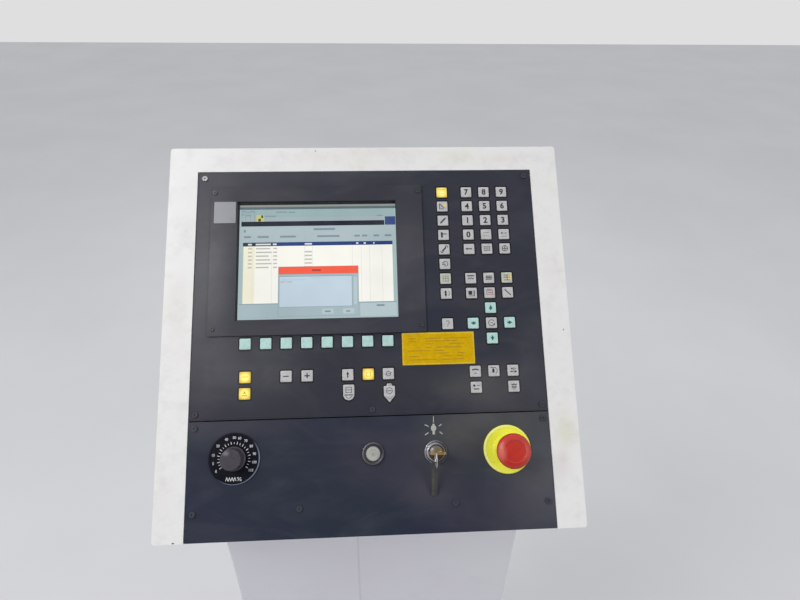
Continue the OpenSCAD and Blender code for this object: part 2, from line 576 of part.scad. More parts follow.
module gland_plate() color("silver") difference() {
  box([-60, col_y1, 54], [60, col_y1 + 2.5, 116]);
  for (x = [-32, 0, 32]) translate([x, 0, 85]) rotate([-90, 0, 0]) rod(8.05, col_y1 - 1, col_y1 + 4);
  for (x = [-54, 54]) translate([x, 0, 85]) rotate([-90, 0, 0]) rod(2.3, col_y1 - 1, col_y1 + 4);
}
module cable_glands() color([0.15, 0.15, 0.16]) for (x = [-32, 0, 32])
  translate([x, col_y1, 85]) rotate([-90, 0, 0]) difference() {
    union() {
      hexrod(22, -7, -2.05 + 2.04);
      rod(8, -9, 5);
      hexrod(22, 2.51, 9);
      rotate_extrude() polygon([[0, 8.9], [10, 8.9], [10, 17], [8, 20], [0, 20]]);
    }
    rod(5, -10, 21);
  }

head_shell();
panel_crossbar();
upper_panel();
lower_panel();
key_overlay();
keypad_board();
machine_key_board();
display_bezel();
display_window();
display_gasket();
display_module();
panel_screws();
bezel_screws();
nameplate();
notice_plate();
dial_plate();
dial_knob();
dial_shaft();
dial_switch();
dial_nut();
button_body();
button_lens();
button_contacts();
key_body();
key_rotor();
switch_key();
key_ring();
key_tag();
key_contacts();
estop_plate();
estop_body();
estop_mushroom();
estop_stem();
estop_contacts();
ring_nuts();
mounting_plate();
control_computer();
power_supply();
din_rail();
terminal_blocks();
wiring_duct();
control_loom();
display_cable();
fan_housing();
fan_rotor();
rear_door();
door_gasket();
hinge_fixed();
hinge_moving();
hinge_pins();
door_lock();
lock_cam();
pedestal_column();
column_cover();
cover_screws();
base_plate();
head_bolts();
gland_plate();
cable_glands();
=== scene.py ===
import bpy, bmesh, math
from mathutils import Matrix, Vector
from mathutils.geometry import tessellate_polygon


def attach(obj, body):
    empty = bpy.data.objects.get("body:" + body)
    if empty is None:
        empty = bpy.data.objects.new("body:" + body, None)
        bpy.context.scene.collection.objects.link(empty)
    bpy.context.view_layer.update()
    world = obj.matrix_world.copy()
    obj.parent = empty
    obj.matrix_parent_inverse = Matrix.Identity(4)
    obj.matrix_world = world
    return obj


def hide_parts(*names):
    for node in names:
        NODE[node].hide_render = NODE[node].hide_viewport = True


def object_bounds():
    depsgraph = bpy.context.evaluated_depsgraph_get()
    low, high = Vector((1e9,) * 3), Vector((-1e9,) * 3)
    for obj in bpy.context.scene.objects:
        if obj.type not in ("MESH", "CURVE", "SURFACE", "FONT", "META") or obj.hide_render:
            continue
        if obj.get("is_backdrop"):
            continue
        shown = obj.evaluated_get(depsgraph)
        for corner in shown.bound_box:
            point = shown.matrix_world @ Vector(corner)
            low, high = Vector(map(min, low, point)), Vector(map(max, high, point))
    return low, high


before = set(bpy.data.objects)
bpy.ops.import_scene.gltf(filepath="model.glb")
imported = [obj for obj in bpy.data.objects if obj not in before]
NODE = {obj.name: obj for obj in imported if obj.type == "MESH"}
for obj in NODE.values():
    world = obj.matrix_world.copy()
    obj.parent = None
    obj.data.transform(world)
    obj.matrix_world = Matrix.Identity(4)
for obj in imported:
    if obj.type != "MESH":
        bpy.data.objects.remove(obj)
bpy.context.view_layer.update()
COL = bpy.context.scene.collection

# ------------------------------------------------------------------ places
# Face coordinates in millimetres: u across, v up the slope, n out of the face.
W, H = 530.0, 508.0
Y0, Z0 = -227.0, 1000.0
C = math.sqrt(0.5)


def P(u, v, n=0.0):
    return Vector((u - W / 2, Y0 + (v - n) * C, Z0 + (v + n) * C)) / 1000


def head(x, y, z):
    return Vector((x, Y0 + y, Z0 + z)) / 1000


DIAL, BUTTON, KEY, ESTOP = (95.4, 97.0), (266.4, 97.3), (344.9, 96.6), (435.6, 97.2)
KX, KA = (401.3, 425.6, 449.9), 367.5


def krow(j):
    return 441.2 - 20.25 * j


# ------------------------------------------------------------------ camera
cam_data = bpy.data.cameras.new("camera")
cam = bpy.data.objects.new("camera", cam_data)
COL.objects.link(cam)
right, up, forward = Vector((0.99839, -0.05521, 0.01293)), Vector((0.02018, 0.55910, 0.82885)), Vector((0.05299, 0.82726, -0.55932))
rot = Matrix((right, up, -forward)).transposed()
cam.matrix_world = Matrix.Translation((0.00144, -0.63469, 1.62160)) @ rot.to_quaternion().to_matrix().to_4x4()
cam_data.sensor_width = 36.0
cam_data.lens = 25.357
cam_data.clip_start = 0.02
bpy.context.scene.camera = cam
bpy.context.scene.view_settings.view_transform = "Standard"


# ------------------------------------------------------------------ materials
def lin(r, g, b, k=1.0):
    def f(c):
        c /= 255
        return c / 12.92 if c <= 0.04045 else ((c + 0.055) / 1.055) ** 2.4
    return (f(r) * k, f(g) * k, f(b) * k, 1.0)


def shade(c, k):
    return (c[0] * k, c[1] * k, c[2] * k, 1.0)


class Mat:
    def __init__(self, name):
        self.m = bpy.data.materials.new(name)
        self.m.use_nodes = True
        self.t = self.m.node_tree
        self.t.nodes.clear()
        out = self.t.nodes.new("ShaderNodeOutputMaterial")
        self.b = self.t.nodes.new("ShaderNodeBsdfPrincipled")
        self.t.links.new(self.b.outputs[0], out.inputs[0])
        self.pos = self.t.nodes.new("ShaderNodeTexCoord").outputs["Object"]

    def node(self, kind, **kw):
        n = self.t.nodes.new("ShaderNode" + kind)
        for k, v in kw.items():
            setattr(n, k, v)
        return n

    def put(self, sock, val):
        if isinstance(val, bpy.types.NodeSocket):
            self.t.links.new(val, sock)
        else:
            sock.default_value = val

    def set(self, **kw):
        for k, v in kw.items():
            self.put(self.b.inputs[k.replace("_", " ")], v)
        return self

    def noise(self, scale, detail=3.0, rough=0.55, distort=0.0, vec=None):
        n = self.node("TexNoise")
        self.put(n.inputs["Vector"], vec or self.pos)
        n.inputs["Scale"].default_value = scale
        n.inputs["Detail"].default_value = detail
        n.inputs["Roughness"].default_value = rough
        n.inputs["Distortion"].default_value = distort
        return n.outputs["Fac"]

    def cells(self, scale, vec=None, feature="F1"):
        n = self.node("TexVoronoi", feature=feature)
        self.put(n.inputs["Vector"], vec or self.pos)
        n.inputs["Scale"].default_value = scale
        return n.outputs["Distance"]

    def math(self, op, a, b=0.0, c=0.0, clamp=False):
        n = self.node("Math", operation=op, use_clamp=clamp)
        self.put(n.inputs[0], a)
        self.put(n.inputs[1], b)
        if op in ("MULTIPLY_ADD",):
            self.put(n.inputs[2], c)
        return n.outputs[0]

    def span(self, val, a, b, c=0.0, d=1.0, smooth=False):
        n = self.node("MapRange", clamp=True)
        if smooth:
            n.interpolation_type = "SMOOTHSTEP"
        self.put(n.inputs["Value"], val)
        for k, x in zip(("From Min", "From Max", "To Min", "To Max"), (a, b, c, d)):
            n.inputs[k].default_value = x
        return n.outputs["Result"]

    def mix(self, fac, a, b, kind="MIX"):
        n = self.node("Mix", data_type="RGBA", blend_type=kind)
        self.put(n.inputs[0], fac)
        self.put(n.inputs[6], a)
        self.put(n.inputs[7], b)
        return n.outputs[2]

    def stretch(self, sx, sy, sz):
        n = self.node("Mapping")
        self.put(n.inputs["Vector"], self.pos)
        n.inputs["Scale"].default_value = (sx, sy, sz)
        return n.outputs[0]

    def dot(self, vec, offset=0.0):
        n = self.node("VectorMath", operation="DOT_PRODUCT")
        self.put(n.inputs[0], self.pos)
        n.inputs[1].default_value = vec
        return self.math("ADD", n.outputs["Value"], offset)

    def uvn(self):
        """Face coordinates in millimetres."""
        u = self.dot((1000, 0, 0), W / 2)
        v = self.dot((0, 1000 * C, 1000 * C), -(Y0 + Z0) * C)
        n = self.dot((0, -1000 * C, 1000 * C), (Y0 - Z0) * C)
        return u, v, n

    def blob(self, a, b, ca, cb, ra, rb=None):
        """1 in the middle of an ellipse around (ca, cb), falling to 0 at its rim."""
        x = self.math("DIVIDE", self.math("SUBTRACT", a, ca), ra)
        y = self.math("DIVIDE", self.math("SUBTRACT", b, cb), rb or ra)
        d = self.math("SQRT", self.math("ADD", self.math("MULTIPLY", x, x), self.math("MULTIPLY", y, y)))
        return self.span(d, 0.0, 1.0, 1.0, 0.0, smooth=True)

    def bump(self, *layers):
        prev = None
        for height, strength, dist in layers:
            n = self.node("Bump")
            n.inputs["Strength"].default_value = strength
            n.inputs["Distance"].default_value = dist
            self.put(n.inputs["Height"], height)
            if prev is not None:
                self.put(n.inputs["Normal"], prev)
            prev = n.outputs[0]
        self.put(self.b.inputs["Normal"], prev)
        return self

    def edge(self, radius, lo=0.001, hi=0.06):
        """1 on a convex edge or a corner, 0 on a flat."""
        bv = self.node("Bevel", samples=4)
        bv.inputs["Radius"].default_value = radius
        g = self.node("NewGeometry")
        d = self.node("VectorMath", operation="DOT_PRODUCT")
        self.put(d.inputs[0], bv.outputs[0])
        self.put(d.inputs[1], g.outputs["Normal"])
        return self.span(self.math("SUBTRACT", 1.0, d.outputs["Value"]), lo, hi)


def coat(name, rgb, rough=0.42, vary=0.035, peel=0.10, grime=0.25, cool=None):
    """Powder coat: orange peel, a little tone drift, dust and scuffs that gather in patches."""
    m = Mat(name)
    big, mid, fine = m.noise(3.2, 3), m.noise(26, 4, 0.6), m.noise(950, 2, 0.5)
    c = m.mix(m.span(big, 0.35, 0.65), shade(rgb, 1 - vary), cool or shade(rgb, 1 + vary))
    dirt = m.math("MULTIPLY", m.span(mid, 0.52, 0.74), m.span(m.noise(7, 2), 0.42, 0.7))
    c = m.mix(m.math("MULTIPLY", dirt, grime), c, (rgb[0] * 0.62, rgb[1] * 0.57, rgb[2] * 0.47, 1))
    scuff = m.span(m.noise(60, 6, 0.75, 0.6, m.stretch(1, 1, 7)), 0.66, 0.74)
    c = m.mix(m.math("MULTIPLY", scuff, 0.16 * grime / 0.25), c, shade(rgb, 0.6))
    m.set(Base_Color=c, Roughness=m.span(mid, 0.3, 0.7, rough - 0.05, rough + 0.09))
    m.bump((fine, peel, 0.0004), (m.noise(140, 2), peel * 0.5, 0.0006))
    return m


def face_coat(name, rgb):
    """The casing's coat, with the smudges and knocks of its border."""
    m = coat(name, rgb, rough=0.40, grime=0.20)
    base = m.b.inputs["Base Color"].links[0].from_socket
    u, v, n = m.uvn()
    on = m.span(n, -9.0, -2.5)
    brown, olive, rosy = lin(196, 176, 158), lin(206, 206, 170), lin(216, 198, 192)
    blotch = m.span(m.noise(11, 4, 0.6), 0.34, 0.66)
    for cu, cv, ru, rv, tint, k in (
        (205, 496, 90, 16, rosy, 0.55), (240, 486, 60, 14, olive, 0.55), (392, 494, 46, 18, olive, 0.45),
        (100, 492, 34, 14, rosy, 0.30), (452, 490, 40, 12, rosy, 0.35), (512, 330, 20, 70, rosy, 0.35),
        (514, 118, 20, 44, olive, 0.50), (508, 74, 18, 30, rosy, 0.55), (514, 430, 22, 46, olive, 0.25),
        (18, 300, 22, 110, brown, 0.16), (16, 60, 20, 60, brown, 0.22), (300, 500, 120, 10, brown, 0.22),
    ):
        k2 = m.math("MULTIPLY", m.math("MULTIPLY", m.blob(u, v, cu, cv, ru, rv), blotch), m.math("MULTIPLY", on, k))
        base = m.mix(k2, base, tint)
    # grey hand marks along the inner edge of the border, and fine dark specks
    inner = m.math("MULTIPLY", m.span(m.noise(48, 5, 0.65), 0.5, 0.75), m.math("MULTIPLY", on, 0.16))
    base = m.mix(inner, base, lin(150, 145, 138))
    speck = m.span(m.cells(210), 0.035, 0.06, 1, 0)
    speck = m.math("MULTIPLY", speck, m.span(m.noise(20, 3), 0.60, 0.66))
    base = m.mix(m.math("MULTIPLY", speck, 0.5), base, lin(110, 102, 92))
    # painted shade: the white flange seen through the seam between the two panels is darkened inside the recess
    seam_shade = m.math("MULTIPLY", m.math("MULTIPLY", m.span(v, 138.5, 139.5), m.span(v, 146.5, 147.5, 1, 0)), m.span(n, -4.5, -4.1, 1, 0))
    seam_shade = m.math("MULTIPLY", seam_shade, m.math("MULTIPLY", m.span(u, 20.0, 21.0), m.span(u, 509.0, 510.0, 1, 0)))
    base = m.mix(m.math("MULTIPLY", seam_shade, m.span(n, -9.0, -8.0)), base, lin(34, 35, 42))
    chips = m.math("MULTIPLY", m.edge(0.0012, 0.02, 0.12), m.span(m.noise(150, 5, 0.7), 0.66, 0.70))
    base = m.mix(m.math("MULTIPLY", chips, 0.75), base, lin(96, 90, 84))
    rim = m.math("MULTIPLY", m.edge(0.0016, 0.01, 0.2), 0.16)
    base = m.mix(rim, base, lin(170, 160, 146))
    for cu, cv, ru, rv in ((195.4, 503.5, 1.5, 1.1), (521.0, 247.5, 0.9, 1.9), (25.5, 1.4, 2.2, 1.3)):
        k2 = m.math("MULTIPLY", m.span(m.blob(u, v, cu, cv, ru, rv), 0.12, 0.45), m.span(n, -5, -2))
        base = m.mix(k2, base, lin(70, 60, 55))
    m.set(Base_Color=base)
    return m


# (u, v, half width, half height, strength, tone): lighter patches on the dark coats, partly dust film and partly
# painted sheen of reflected light
VIOLET, NEUTRAL = (66, 60, 73), (80, 79, 75)
UP_DUST_AND_SHEEN = ((58, 330, 62, 200, 0.130), (60, 470, 70, 60, 0.040), (200, 486, 200, 60, 0.042), (110, 205, 110, 60, 0.060), (330, 200, 120, 40, 0.012),
           (430, 175, 100, 60, 0.062), (480, 230, 40, 60, 0.030), (385, 178, 100, 36, 0.40, NEUTRAL), (30, 300, 30, 160, 0.012))
LOW_DUST_AND_SHEEN = ((278, 95, 92, 70, 0.60, VIOLET), (372, 115, 80, 62, 0.70, NEUTRAL), (450, 140, 90, 30, 0.55, NEUTRAL), (405, 145, 125, 100, 0.045), (480, 60, 100, 100, 0.135),
            (440, 30, 120, 60, 0.45, VIOLET), (60, 138, 90, 26, 0.050), (110, 140, 110, 30, 0.45, VIOLET), (336, 60, 66, 48, 0.62, (80, 76, 84)))


def dark_coat(name, rgb=(38, 42, 56), rough=0.46, grain=0.14, fine=1900, dust=1.0, spec=0.36, dust_and_sheen=UP_DUST_AND_SHEEN, hue=0.4):
    """Fine-textured anthracite, with drifting tone, dust, wiped patches and lighter patches that are partly dust film
    and partly painted sheen.
    """
    m = Mat(name)
    u, v, n = m.uvn()
    a, b = lin(*rgb), lin(rgb[0] + 3, rgb[1] + 1, rgb[2] - 5)
    c = m.mix(m.span(m.noise(5.5, 3, 0.5, 0.4), 0.38, 0.62), shade(a, 0.90), shade(b, 1.04))
    c = m.mix(m.math("MULTIPLY", m.span(m.noise(8, 2), 0.45, 0.7), hue), c, lin(rgb[0] + 9, rgb[1] - 3, rgb[2] + 2))
    wipe = m.span(m.noise(9, 5, 0.6, 1.2, m.stretch(1, 2.6, 2.6)), 0.46, 0.70)
    c = m.mix(m.math("MULTIPLY", wipe, 0.10 * dust), c, lin(104, 104, 108))
    spots = m.math("MULTIPLY", m.span(m.cells(330), 0.04, 0.075, 1, 0), m.span(m.noise(31, 3), 0.56, 0.63))
    c = m.mix(m.math("MULTIPLY", spots, 0.22 * dust), c, lin(150, 148, 145))
    film = m.span(m.noise(17, 4, 0.6, 0.5), 0.25, 0.62, 0.55, 1.0)
    # lighter patches: partly dust film, partly painted sheen of reflected light; the noise above breaks them up
    for cu, cv, ru, rv, k, *tone in dust_and_sheen:
        c = m.mix(m.math("MULTIPLY", m.math("MULTIPLY", m.blob(u, v, cu, cv, ru, rv), film), k), c, lin(*tone[0]) if tone else lin(200, 198, 198))
    grit = m.noise(fine, 3, 0.6)
    c = m.mix(m.math("MULTIPLY", m.span(grit, 0.58, 0.72), 0.10), c, lin(110, 110, 116))
    m.set(Base_Color=c, Roughness=m.span(wipe, 0, 1, rough, rough + 0.10))
    m.b.inputs["Specular IOR Level"].default_value = spec
    m.bump((grit, grain, 0.0003))
    return m


def satin(name, rgb, rough=0.24, rim=None, rim_rgb=None, dark_rgb=None):
    """Smooth plated metal with a soft tone drift; rim = (u, v, inner radius, outer radius, strength, tone) paints a
    highlight band on the outer edge, strongest on its left.
    """
    m = Mat(name)
    c = m.mix(m.span(m.noise(60, 3), 0.35, 0.65), shade(rgb, 0.86), shade(rgb, 1.08))
    c = m.mix(m.math("MULTIPLY", m.span(m.noise(170, 4, 0.6), 0.55, 0.75), 0.30), c, shade(rgb, 0.6))
    for cu, cv, r0, r1, k, tone in rim or ():
        u, v, n = m.uvn()
        x, y = m.math("SUBTRACT", u, cu), m.math("SUBTRACT", v, cv)
        d = m.math("SQRT", m.math("ADD", m.math("MULTIPLY", x, x), m.math("MULTIPLY", y, y)))
        band = m.math("MULTIPLY", m.span(d, r0 - 0.35, r0 + 0.1), m.span(d, r1, r1 + 0.3, 1, 0))
        # painted highlight: the band is strongest on its left side
        side = m.span(m.math("SUBTRACT", m.math("MULTIPLY", y, 0.35), x), -6.0, 11.0, 0.25, 1.0)
        c = m.mix(m.math("MULTIPLY", m.math("MULTIPLY", band, side), k), c, tone)
    m.set(Base_Color=c, Metallic=0.9, Roughness=m.span(m.noise(90, 3), 0.3, 0.7, rough - 0.04, rough + 0.10))
    m.bump((m.noise(1600, 2), 0.010, 0.0002))
    return m


def metal(name, rgb, rough=0.32, brushed=None, vary=0.12, bump=0.05, tarnish=None, edge=False):
    """Metal with streaks along one direction, stains and fine scratches."""
    m = Mat(name)
    vec = m.stretch(*brushed) if brushed else m.pos
    streak = m.noise(700 if brushed else 260, 4, 0.65, 0, vec)
    c = m.mix(m.span(streak, 0.35, 0.65), shade(rgb, 1 - vary), shade(rgb, 1 + vary * 0.5))
    stain = m.span(m.noise(38, 4, 0.6), 0.5, 0.72)
    c = m.mix(m.math("MULTIPLY", stain, 0.45), c, tarnish or shade(rgb, 0.62))
    if edge:
        c = m.mix(m.math("MULTIPLY", m.edge(0.0004, 0.01, 0.1), 0.5), c, shade(rgb, 1.35))
    m.set(Base_Color=c, Metallic=1.0, Roughness=m.span(m.noise(420, 3, 0.6, 0, vec), 0.3, 0.7, rough - 0.08, rough + 0.12))
    m.bump((streak, bump, 0.0003))
    return m


def spangle(name, rgb):
    """Zinc sheet with its crystal pattern."""
    m = Mat(name)
    v = m.node("TexVoronoi")
    m.put(v.inputs["Vector"], m.pos)
    v.inputs["Scale"].default_value = 90
    bw = m.node("RGBToBW")
    m.put(bw.inputs[0], v.outputs["Color"])
    c = m.mix(bw.outputs[0], shade(rgb, 0.74), shade(rgb, 1.12))
    c = m.mix(m.math("MULTIPLY", m.span(m.noise(14, 4), 0.5, 0.75), 0.3), c, shade(rgb, 0.6))
    m.set(Base_Color=c, Metallic=0.85, Roughness=m.span(bw.outputs[0], 0, 1, 0.30, 0.50))
    m.bump((m.noise(500, 3), 0.05, 0.0003))
    return m


def plastic(name, rgb, rough=0.45, vary=0.10, grain=0.06, scale=1400, dust=0.25, sheen=None, worn=0.0):
    """Moulded plastic: fine erosion grain, drifting tone and dust."""
    m = Mat(name)
    grit = m.noise(scale, 3, 0.6)
    c = m.mix(m.span(m.noise(24, 3), 0.35, 0.65), shade(rgb, 1 - vary), shade(rgb, 1 + vary))
    d = m.math("MULTIPLY", m.span(m.noise(85, 5, 0.7), 0.5, 0.75), dust)
    c = m.mix(d, c, (rgb[0] * 0.6 + 0.10, rgb[1] * 0.6 + 0.098, rgb[2] * 0.6 + 0.09, 1))
    if worn:
        e = m.math("MULTIPLY", m.edge(0.0006, 0.01, 0.12), m.span(m.noise(300, 4), 0.35, 0.65))
        c = m.mix(m.math("MULTIPLY", e, worn), c, (min(1, rgb[0] * 1.4 + 0.10), min(1, rgb[1] * 1.4 + 0.10), min(1, rgb[2] * 1.4 + 0.10), 1))
    m.set(Base_Color=c, Roughness=m.span(m.noise(120, 4), 0.3, 0.7, rough - 0.06, rough + 0.10))
    m.bump((grit, grain, 0.0003))
    return m


def ink(name, rgb, rough=0.5, vary=0.14):
    """Printed ink, slightly broken by wear."""
    m = Mat(name)
    c = m.mix(m.span(m.noise(900, 4, 0.65), 0.4, 0.66), shade(rgb, 1 - vary), shade(rgb, 1 + vary * 0.4))
    m.set(Base_Color=c, Roughness=m.span(m.noise(500, 2), 0.3, 0.7, rough - 0.05, rough + 0.08))
    m.bump((m.noise(1500, 2), 0.04, 0.0002))
    return m


def key_film(name, rgb, glow=0.0, glow_rgb=None):
    """The printed top of a key field: slightly mottled film with dirty patches."""
    m = Mat(name)
    c = m.mix(m.span(m.noise(160, 3), 0.35, 0.65), shade(rgb, 0.90), shade(rgb, 1.05))
    dirt = m.span(m.noise(340, 5, 0.7), 0.50, 0.72)
    c = m.mix(m.math("MULTIPLY", dirt, 0.22), c, shade(rgb, 0.55))
    m.set(Base_Color=c, Roughness=m.span(dirt, 0, 1, 0.34, 0.5))
    if glow:
        m.put(m.b.inputs["Emission Color"], m.mix(m.span(m.noise(130, 2), 0.3, 0.7), shade(glow_rgb, 0.86), glow_rgb))
        m.b.inputs["Emission Strength"].default_value = glow
    m.bump((m.noise(1500, 2), 0.06, 0.0002))
    return m


def lit_film(name):
    """A key lit from behind: pale in the middle, amber towards the rim."""
    m = Mat(name)
    u, v, n = m.uvn()
    core = None
    for cu, cv in ((367.5, 441.2), (106.2, 196), (262.3, 196), (106.1, 175.6)):
        b = m.blob(u, v, cu, cv, 10.5)
        core = b if core is None else m.math("MAXIMUM", core, b)
    core = m.math("MULTIPLY", core, m.span(m.noise(170, 2), 0.2, 0.7, 0.85, 1.1), clamp=True)
    first = m.span(v, 300, 320)
    rimc = m.mix(first, (0.88, 0.53, 0.05, 1), (1.0, 0.68, 0.10, 1))
    midc = m.mix(first, (1.0, 0.86, 0.17, 1), (1.0, 0.90, 0.26, 1))
    glow = m.mix(m.span(core, 0.02, 0.55), rimc, midc)
    m.set(Base_Color=m.mix(core, (0.30, 0.16, 0.02, 1), (0.42, 0.36, 0.10, 1)), Roughness=0.42)
    m.put(m.b.inputs["Emission Color"], glow)
    m.put(m.b.inputs["Emission Strength"], m.span(core, 0.0, 0.8, 0.42, 0.80))
    m.bump((m.noise(1500, 2), 0.06, 0.0002))
    return m


def screen_mat(name, rgb, k=0.93):
    """One field of the lit picture: emission with a soft drift over the panel and a fine pixel structure."""
    m = Mat(name)
    c = lin(*rgb, k=k)
    u, v, n = m.uvn()
    drift = m.span(m.noise(9, 2), 0.35, 0.65)
    lines = m.math("SINE", m.math("MULTIPLY", v, 2 * math.pi / 0.66))
    e = m.mix(drift, shade(c, 0.93), (min(1, c[0] * 1.05), min(1, c[1] * 1.04), min(1, c[2] * 1.02), 1))
    e = m.mix(m.span(lines, -1, 1, 0, 0.06), e, shade(c, 0.6))
    m.set(Base_Color=(0.004, 0.004, 0.004, 1), Roughness=0.35)
    m.put(m.b.inputs["Emission Color"], e)
    m.b.inputs["Specular IOR Level"].default_value = 0.15
    m.b.inputs["Emission Strength"].default_value = 1.17
    return m


M = {}
M["casing"] = face_coat("casing", (0.80, 0.790, 0.782, 1))
M["door"] = coat("door_coat", (0.78, 0.765, 0.745, 1), grime=0.3)
# the column's violet-grey coat is the casing's white with the cool tint of the shade below the head painted in: painted
# shade tint
M["column"] = coat("column_coat", (0.775, 0.765, 0.835, 1), rough=0.44, grime=0.12, cool=(0.785, 0.785, 0.835, 1))
M["panel"] = dark_coat("panel_coat", rgb=(40, 43, 59))
M["panel_low"] = dark_coat("lower_panel_coat", rgb=(34, 42, 61), spec=0.28, dust_and_sheen=LOW_DUST_AND_SHEEN, hue=0.55)
# the crossbar's near-black tone stands in for the shade in the seam between the panels: painted shade
M["crossbar"] = dark_coat("crossbar_coat", rgb=(22, 24, 34), rough=0.6, spec=0.15, dust_and_sheen=())
M["foil"] = dark_coat("foil_dark", rgb=(40, 43, 58), rough=0.42, grain=0.08, fine=2600, dust=0.8)
M["moat"] = dark_coat("foil_moat", rgb=(20, 20, 26), rough=0.5, grain=0.05, fine=2600, dust=0.3, spec=0.25)
# the bezel's lighter patches are partly dust and partly painted sheen, brightest on its left
M["bezel"] = dark_coat("bezel_coat", rgb=(46, 47, 60), rough=0.40, grain=0.13, dust_and_sheen=((320, 350, 60, 140, 0.050), (56, 340, 46, 160, 0.14), (200, 255, 180, 24, 0.035)))
M["zinc"] = spangle("zinc_sheet", (0.60, 0.61, 0.61, 1))
M["steel"] = metal("plated_steel", (0.58, 0.58, 0.57, 1), rough=0.33, edge=True)
M["nut"] = metal("nut_steel", (0.50, 0.50, 0.49, 1), rough=0.38)
M["chrome"] = satin("satin_chrome", (0.40, 0.39, 0.42, 1))
M["barrel"] = satin("key_barrel", (0.46, 0.42, 0.36, 1), rough=0.22)
bm_ = M["barrel"]
bu_, bv_, bn_ = bm_.uvn()
bc_ = bm_.b.inputs["Base Color"].links[0].from_socket
half_ = bm_.math("MULTIPLY", bm_.span(bv_, KEY[1] - 3.2, KEY[1] - 1.0, 1, 0), bm_.span(bn_, 3.0, 4.0))
bc_ = bm_.mix(bm_.math("MULTIPLY", half_, 0.88), bc_, lin(92, 26, 34))
# painted highlight: a silver-white spot on the barrel's upper left
chamfer_highlight_ = bm_.blob(bu_, bv_, KEY[0] - 5.5, KEY[1] + 4.2, 4.6)
bc_ = bm_.mix(bm_.math("MULTIPLY", chamfer_highlight_, 0.85), bc_, (0.86, 0.86, 0.90, 1))
# painted reflection: a golden patch where the key bow would be mirrored, right of centre
bow_reflection_ = bm_.math("MULTIPLY", bm_.blob(bu_, bv_, KEY[0] + 3.5, KEY[1] + 3.0, 7.5, 4.5), bm_.span(bn_, 3.0, 4.0))
bc_ = bm_.mix(bm_.math("MULTIPLY", bow_reflection_, 0.8), bc_, (0.60, 0.40, 0.13, 1))
bm_.set(Base_Color=bc_, Metallic=bm_.span(half_, 0, 1, 0.9, 0.25))
# button ring and key switch ring get painted highlight bands on their left
M["button_ring"] = satin("button_ring", (0.10, 0.095, 0.115, 1), rough=0.34, rim=((*BUTTON, 12.4, 13.8, 0.9, (0.36, 0.34, 0.38, 1)), (*BUTTON, 9.6, 10.6, 0.5, (0.20, 0.19, 0.21, 1))))
M["key_ring_body"] = satin("key_switch_ring", (0.085, 0.082, 0.09, 1), rough=0.28, rim=((*KEY, 13.1, 14.5, 0.9, (0.62, 0.62, 0.64, 1)), (*KEY, 9.8, 11.9, 1.0, (0.72, 0.72, 0.76, 1))))
M["base"] = coat("base_coat", (0.16, 0.165, 0.18, 1), rough=0.5, grime=0.5, peel=0.16)
M["black"] = plastic("black_plastic", (0.022, 0.022, 0.025, 1), rough=0.42, worn=0.25)
M["dial_black"] = plastic("dial_black", (0.004, 0.004, 0.010, 1), rough=0.34, worn=0.10, dust=0.02)
dm = M["dial_black"]
dm.b.inputs["Specular IOR Level"].default_value = 0.20
du_, dv_, dn_ = dm.uvn()
dx_, dy_ = dm.math("SUBTRACT", du_, DIAL[0]), dm.math("SUBTRACT", dv_, DIAL[1])
dr_ = dm.math("SQRT", dm.math("ADD", dm.math("MULTIPLY", dx_, dx_), dm.math("MULTIPLY", dy_, dy_)))
# painted reflection: a pale blue-grey glint on the plate's lower-right rim
rim_glint_ = dm.math("MULTIPLY", dm.span(dr_, 29.9, 30.5), dm.span(dm.math("SUBTRACT", dx_, dy_), 2.0, 26.0))
dm.set(Base_Color=dm.mix(rim_glint_, dm.b.inputs["Base Color"].links[0].from_socket, lin(128, 140, 158)))
M["knob"] = plastic("knob_grey", (0.048, 0.043, 0.056, 1), rough=0.42, worn=0.25, dust=0.12)
km = M["knob"]
ku_, kv_, kn_ = km.uvn()
# painted highlight on the upper left of the knob's top
shine_ = km.math("MULTIPLY", km.blob(ku_, kv_, DIAL[0] - 5.5, DIAL[1] + 8.0, 6.5, 4.5), km.span(kn_, 15.0, 20.0))
km.set(Base_Color=km.mix(km.math("MULTIPLY", shine_, 0.55), km.b.inputs["Base Color"].links[0].from_socket, (0.30, 0.29, 0.31, 1)))
M["board"] = plastic("board_green", (0.02, 0.13, 0.055, 1), rough=0.4)
M["rubber"] = plastic("rubber_black", (0.018, 0.018, 0.018, 1), rough=0.75, grain=0.14, scale=900)
M["grey_plastic"] = plastic("grey_plastic", (0.46, 0.47, 0.47, 1), rough=0.48)
M["lens"] = plastic("lens_white", (0.40, 0.40, 0.365, 1), rough=0.30, vary=0.06, grain=0.02, dust=0.22)
lm = M["lens"]
lu_, lv_, ln_ = lm.uvn()
lc = lm.b.inputs["Base Color"].links[0].from_socket
lc = lm.mix(lm.math("MULTIPLY", lm.blob(lu_, lv_, BUTTON[0] - 0.3, BUTTON[1] + 0.6, 3.4), 0.7), lc, (0.24, 0.24, 0.22, 1))
lc = lm.mix(lm.math("MULTIPLY", lm.blob(lu_, lv_, BUTTON[0] + 5.5, BUTTON[1] - 2.0, 5.0, 7.0), 0.45), lc, (0.28, 0.28, 0.25, 1))
lm.set(Base_Color=lc)
M["yellow"] = plastic("estop_yellow", (0.86, 0.865, 0.065, 1), rough=0.38, vary=0.05, grain=0.04, dust=0.10)
ym = M["yellow"]
yu_, yv_, yn_ = ym.uvn()
yx_, yy_ = ym.math("SUBTRACT", yu_, ESTOP[0]), ym.math("SUBTRACT", yv_, ESTOP[1])
yr_ = ym.math("SQRT", ym.math("ADD", ym.math("MULTIPLY", yx_, yx_), ym.math("MULTIPLY", yy_, yy_)))
yc = ym.b.inputs["Base Color"].links[0].from_socket
fleck = ym.math("MULTIPLY", ym.span(ym.noise(210, 3, 0.6), 0.60, 0.68), ym.span(yx_, -16.0, -6.0, 1.0, 0.0))
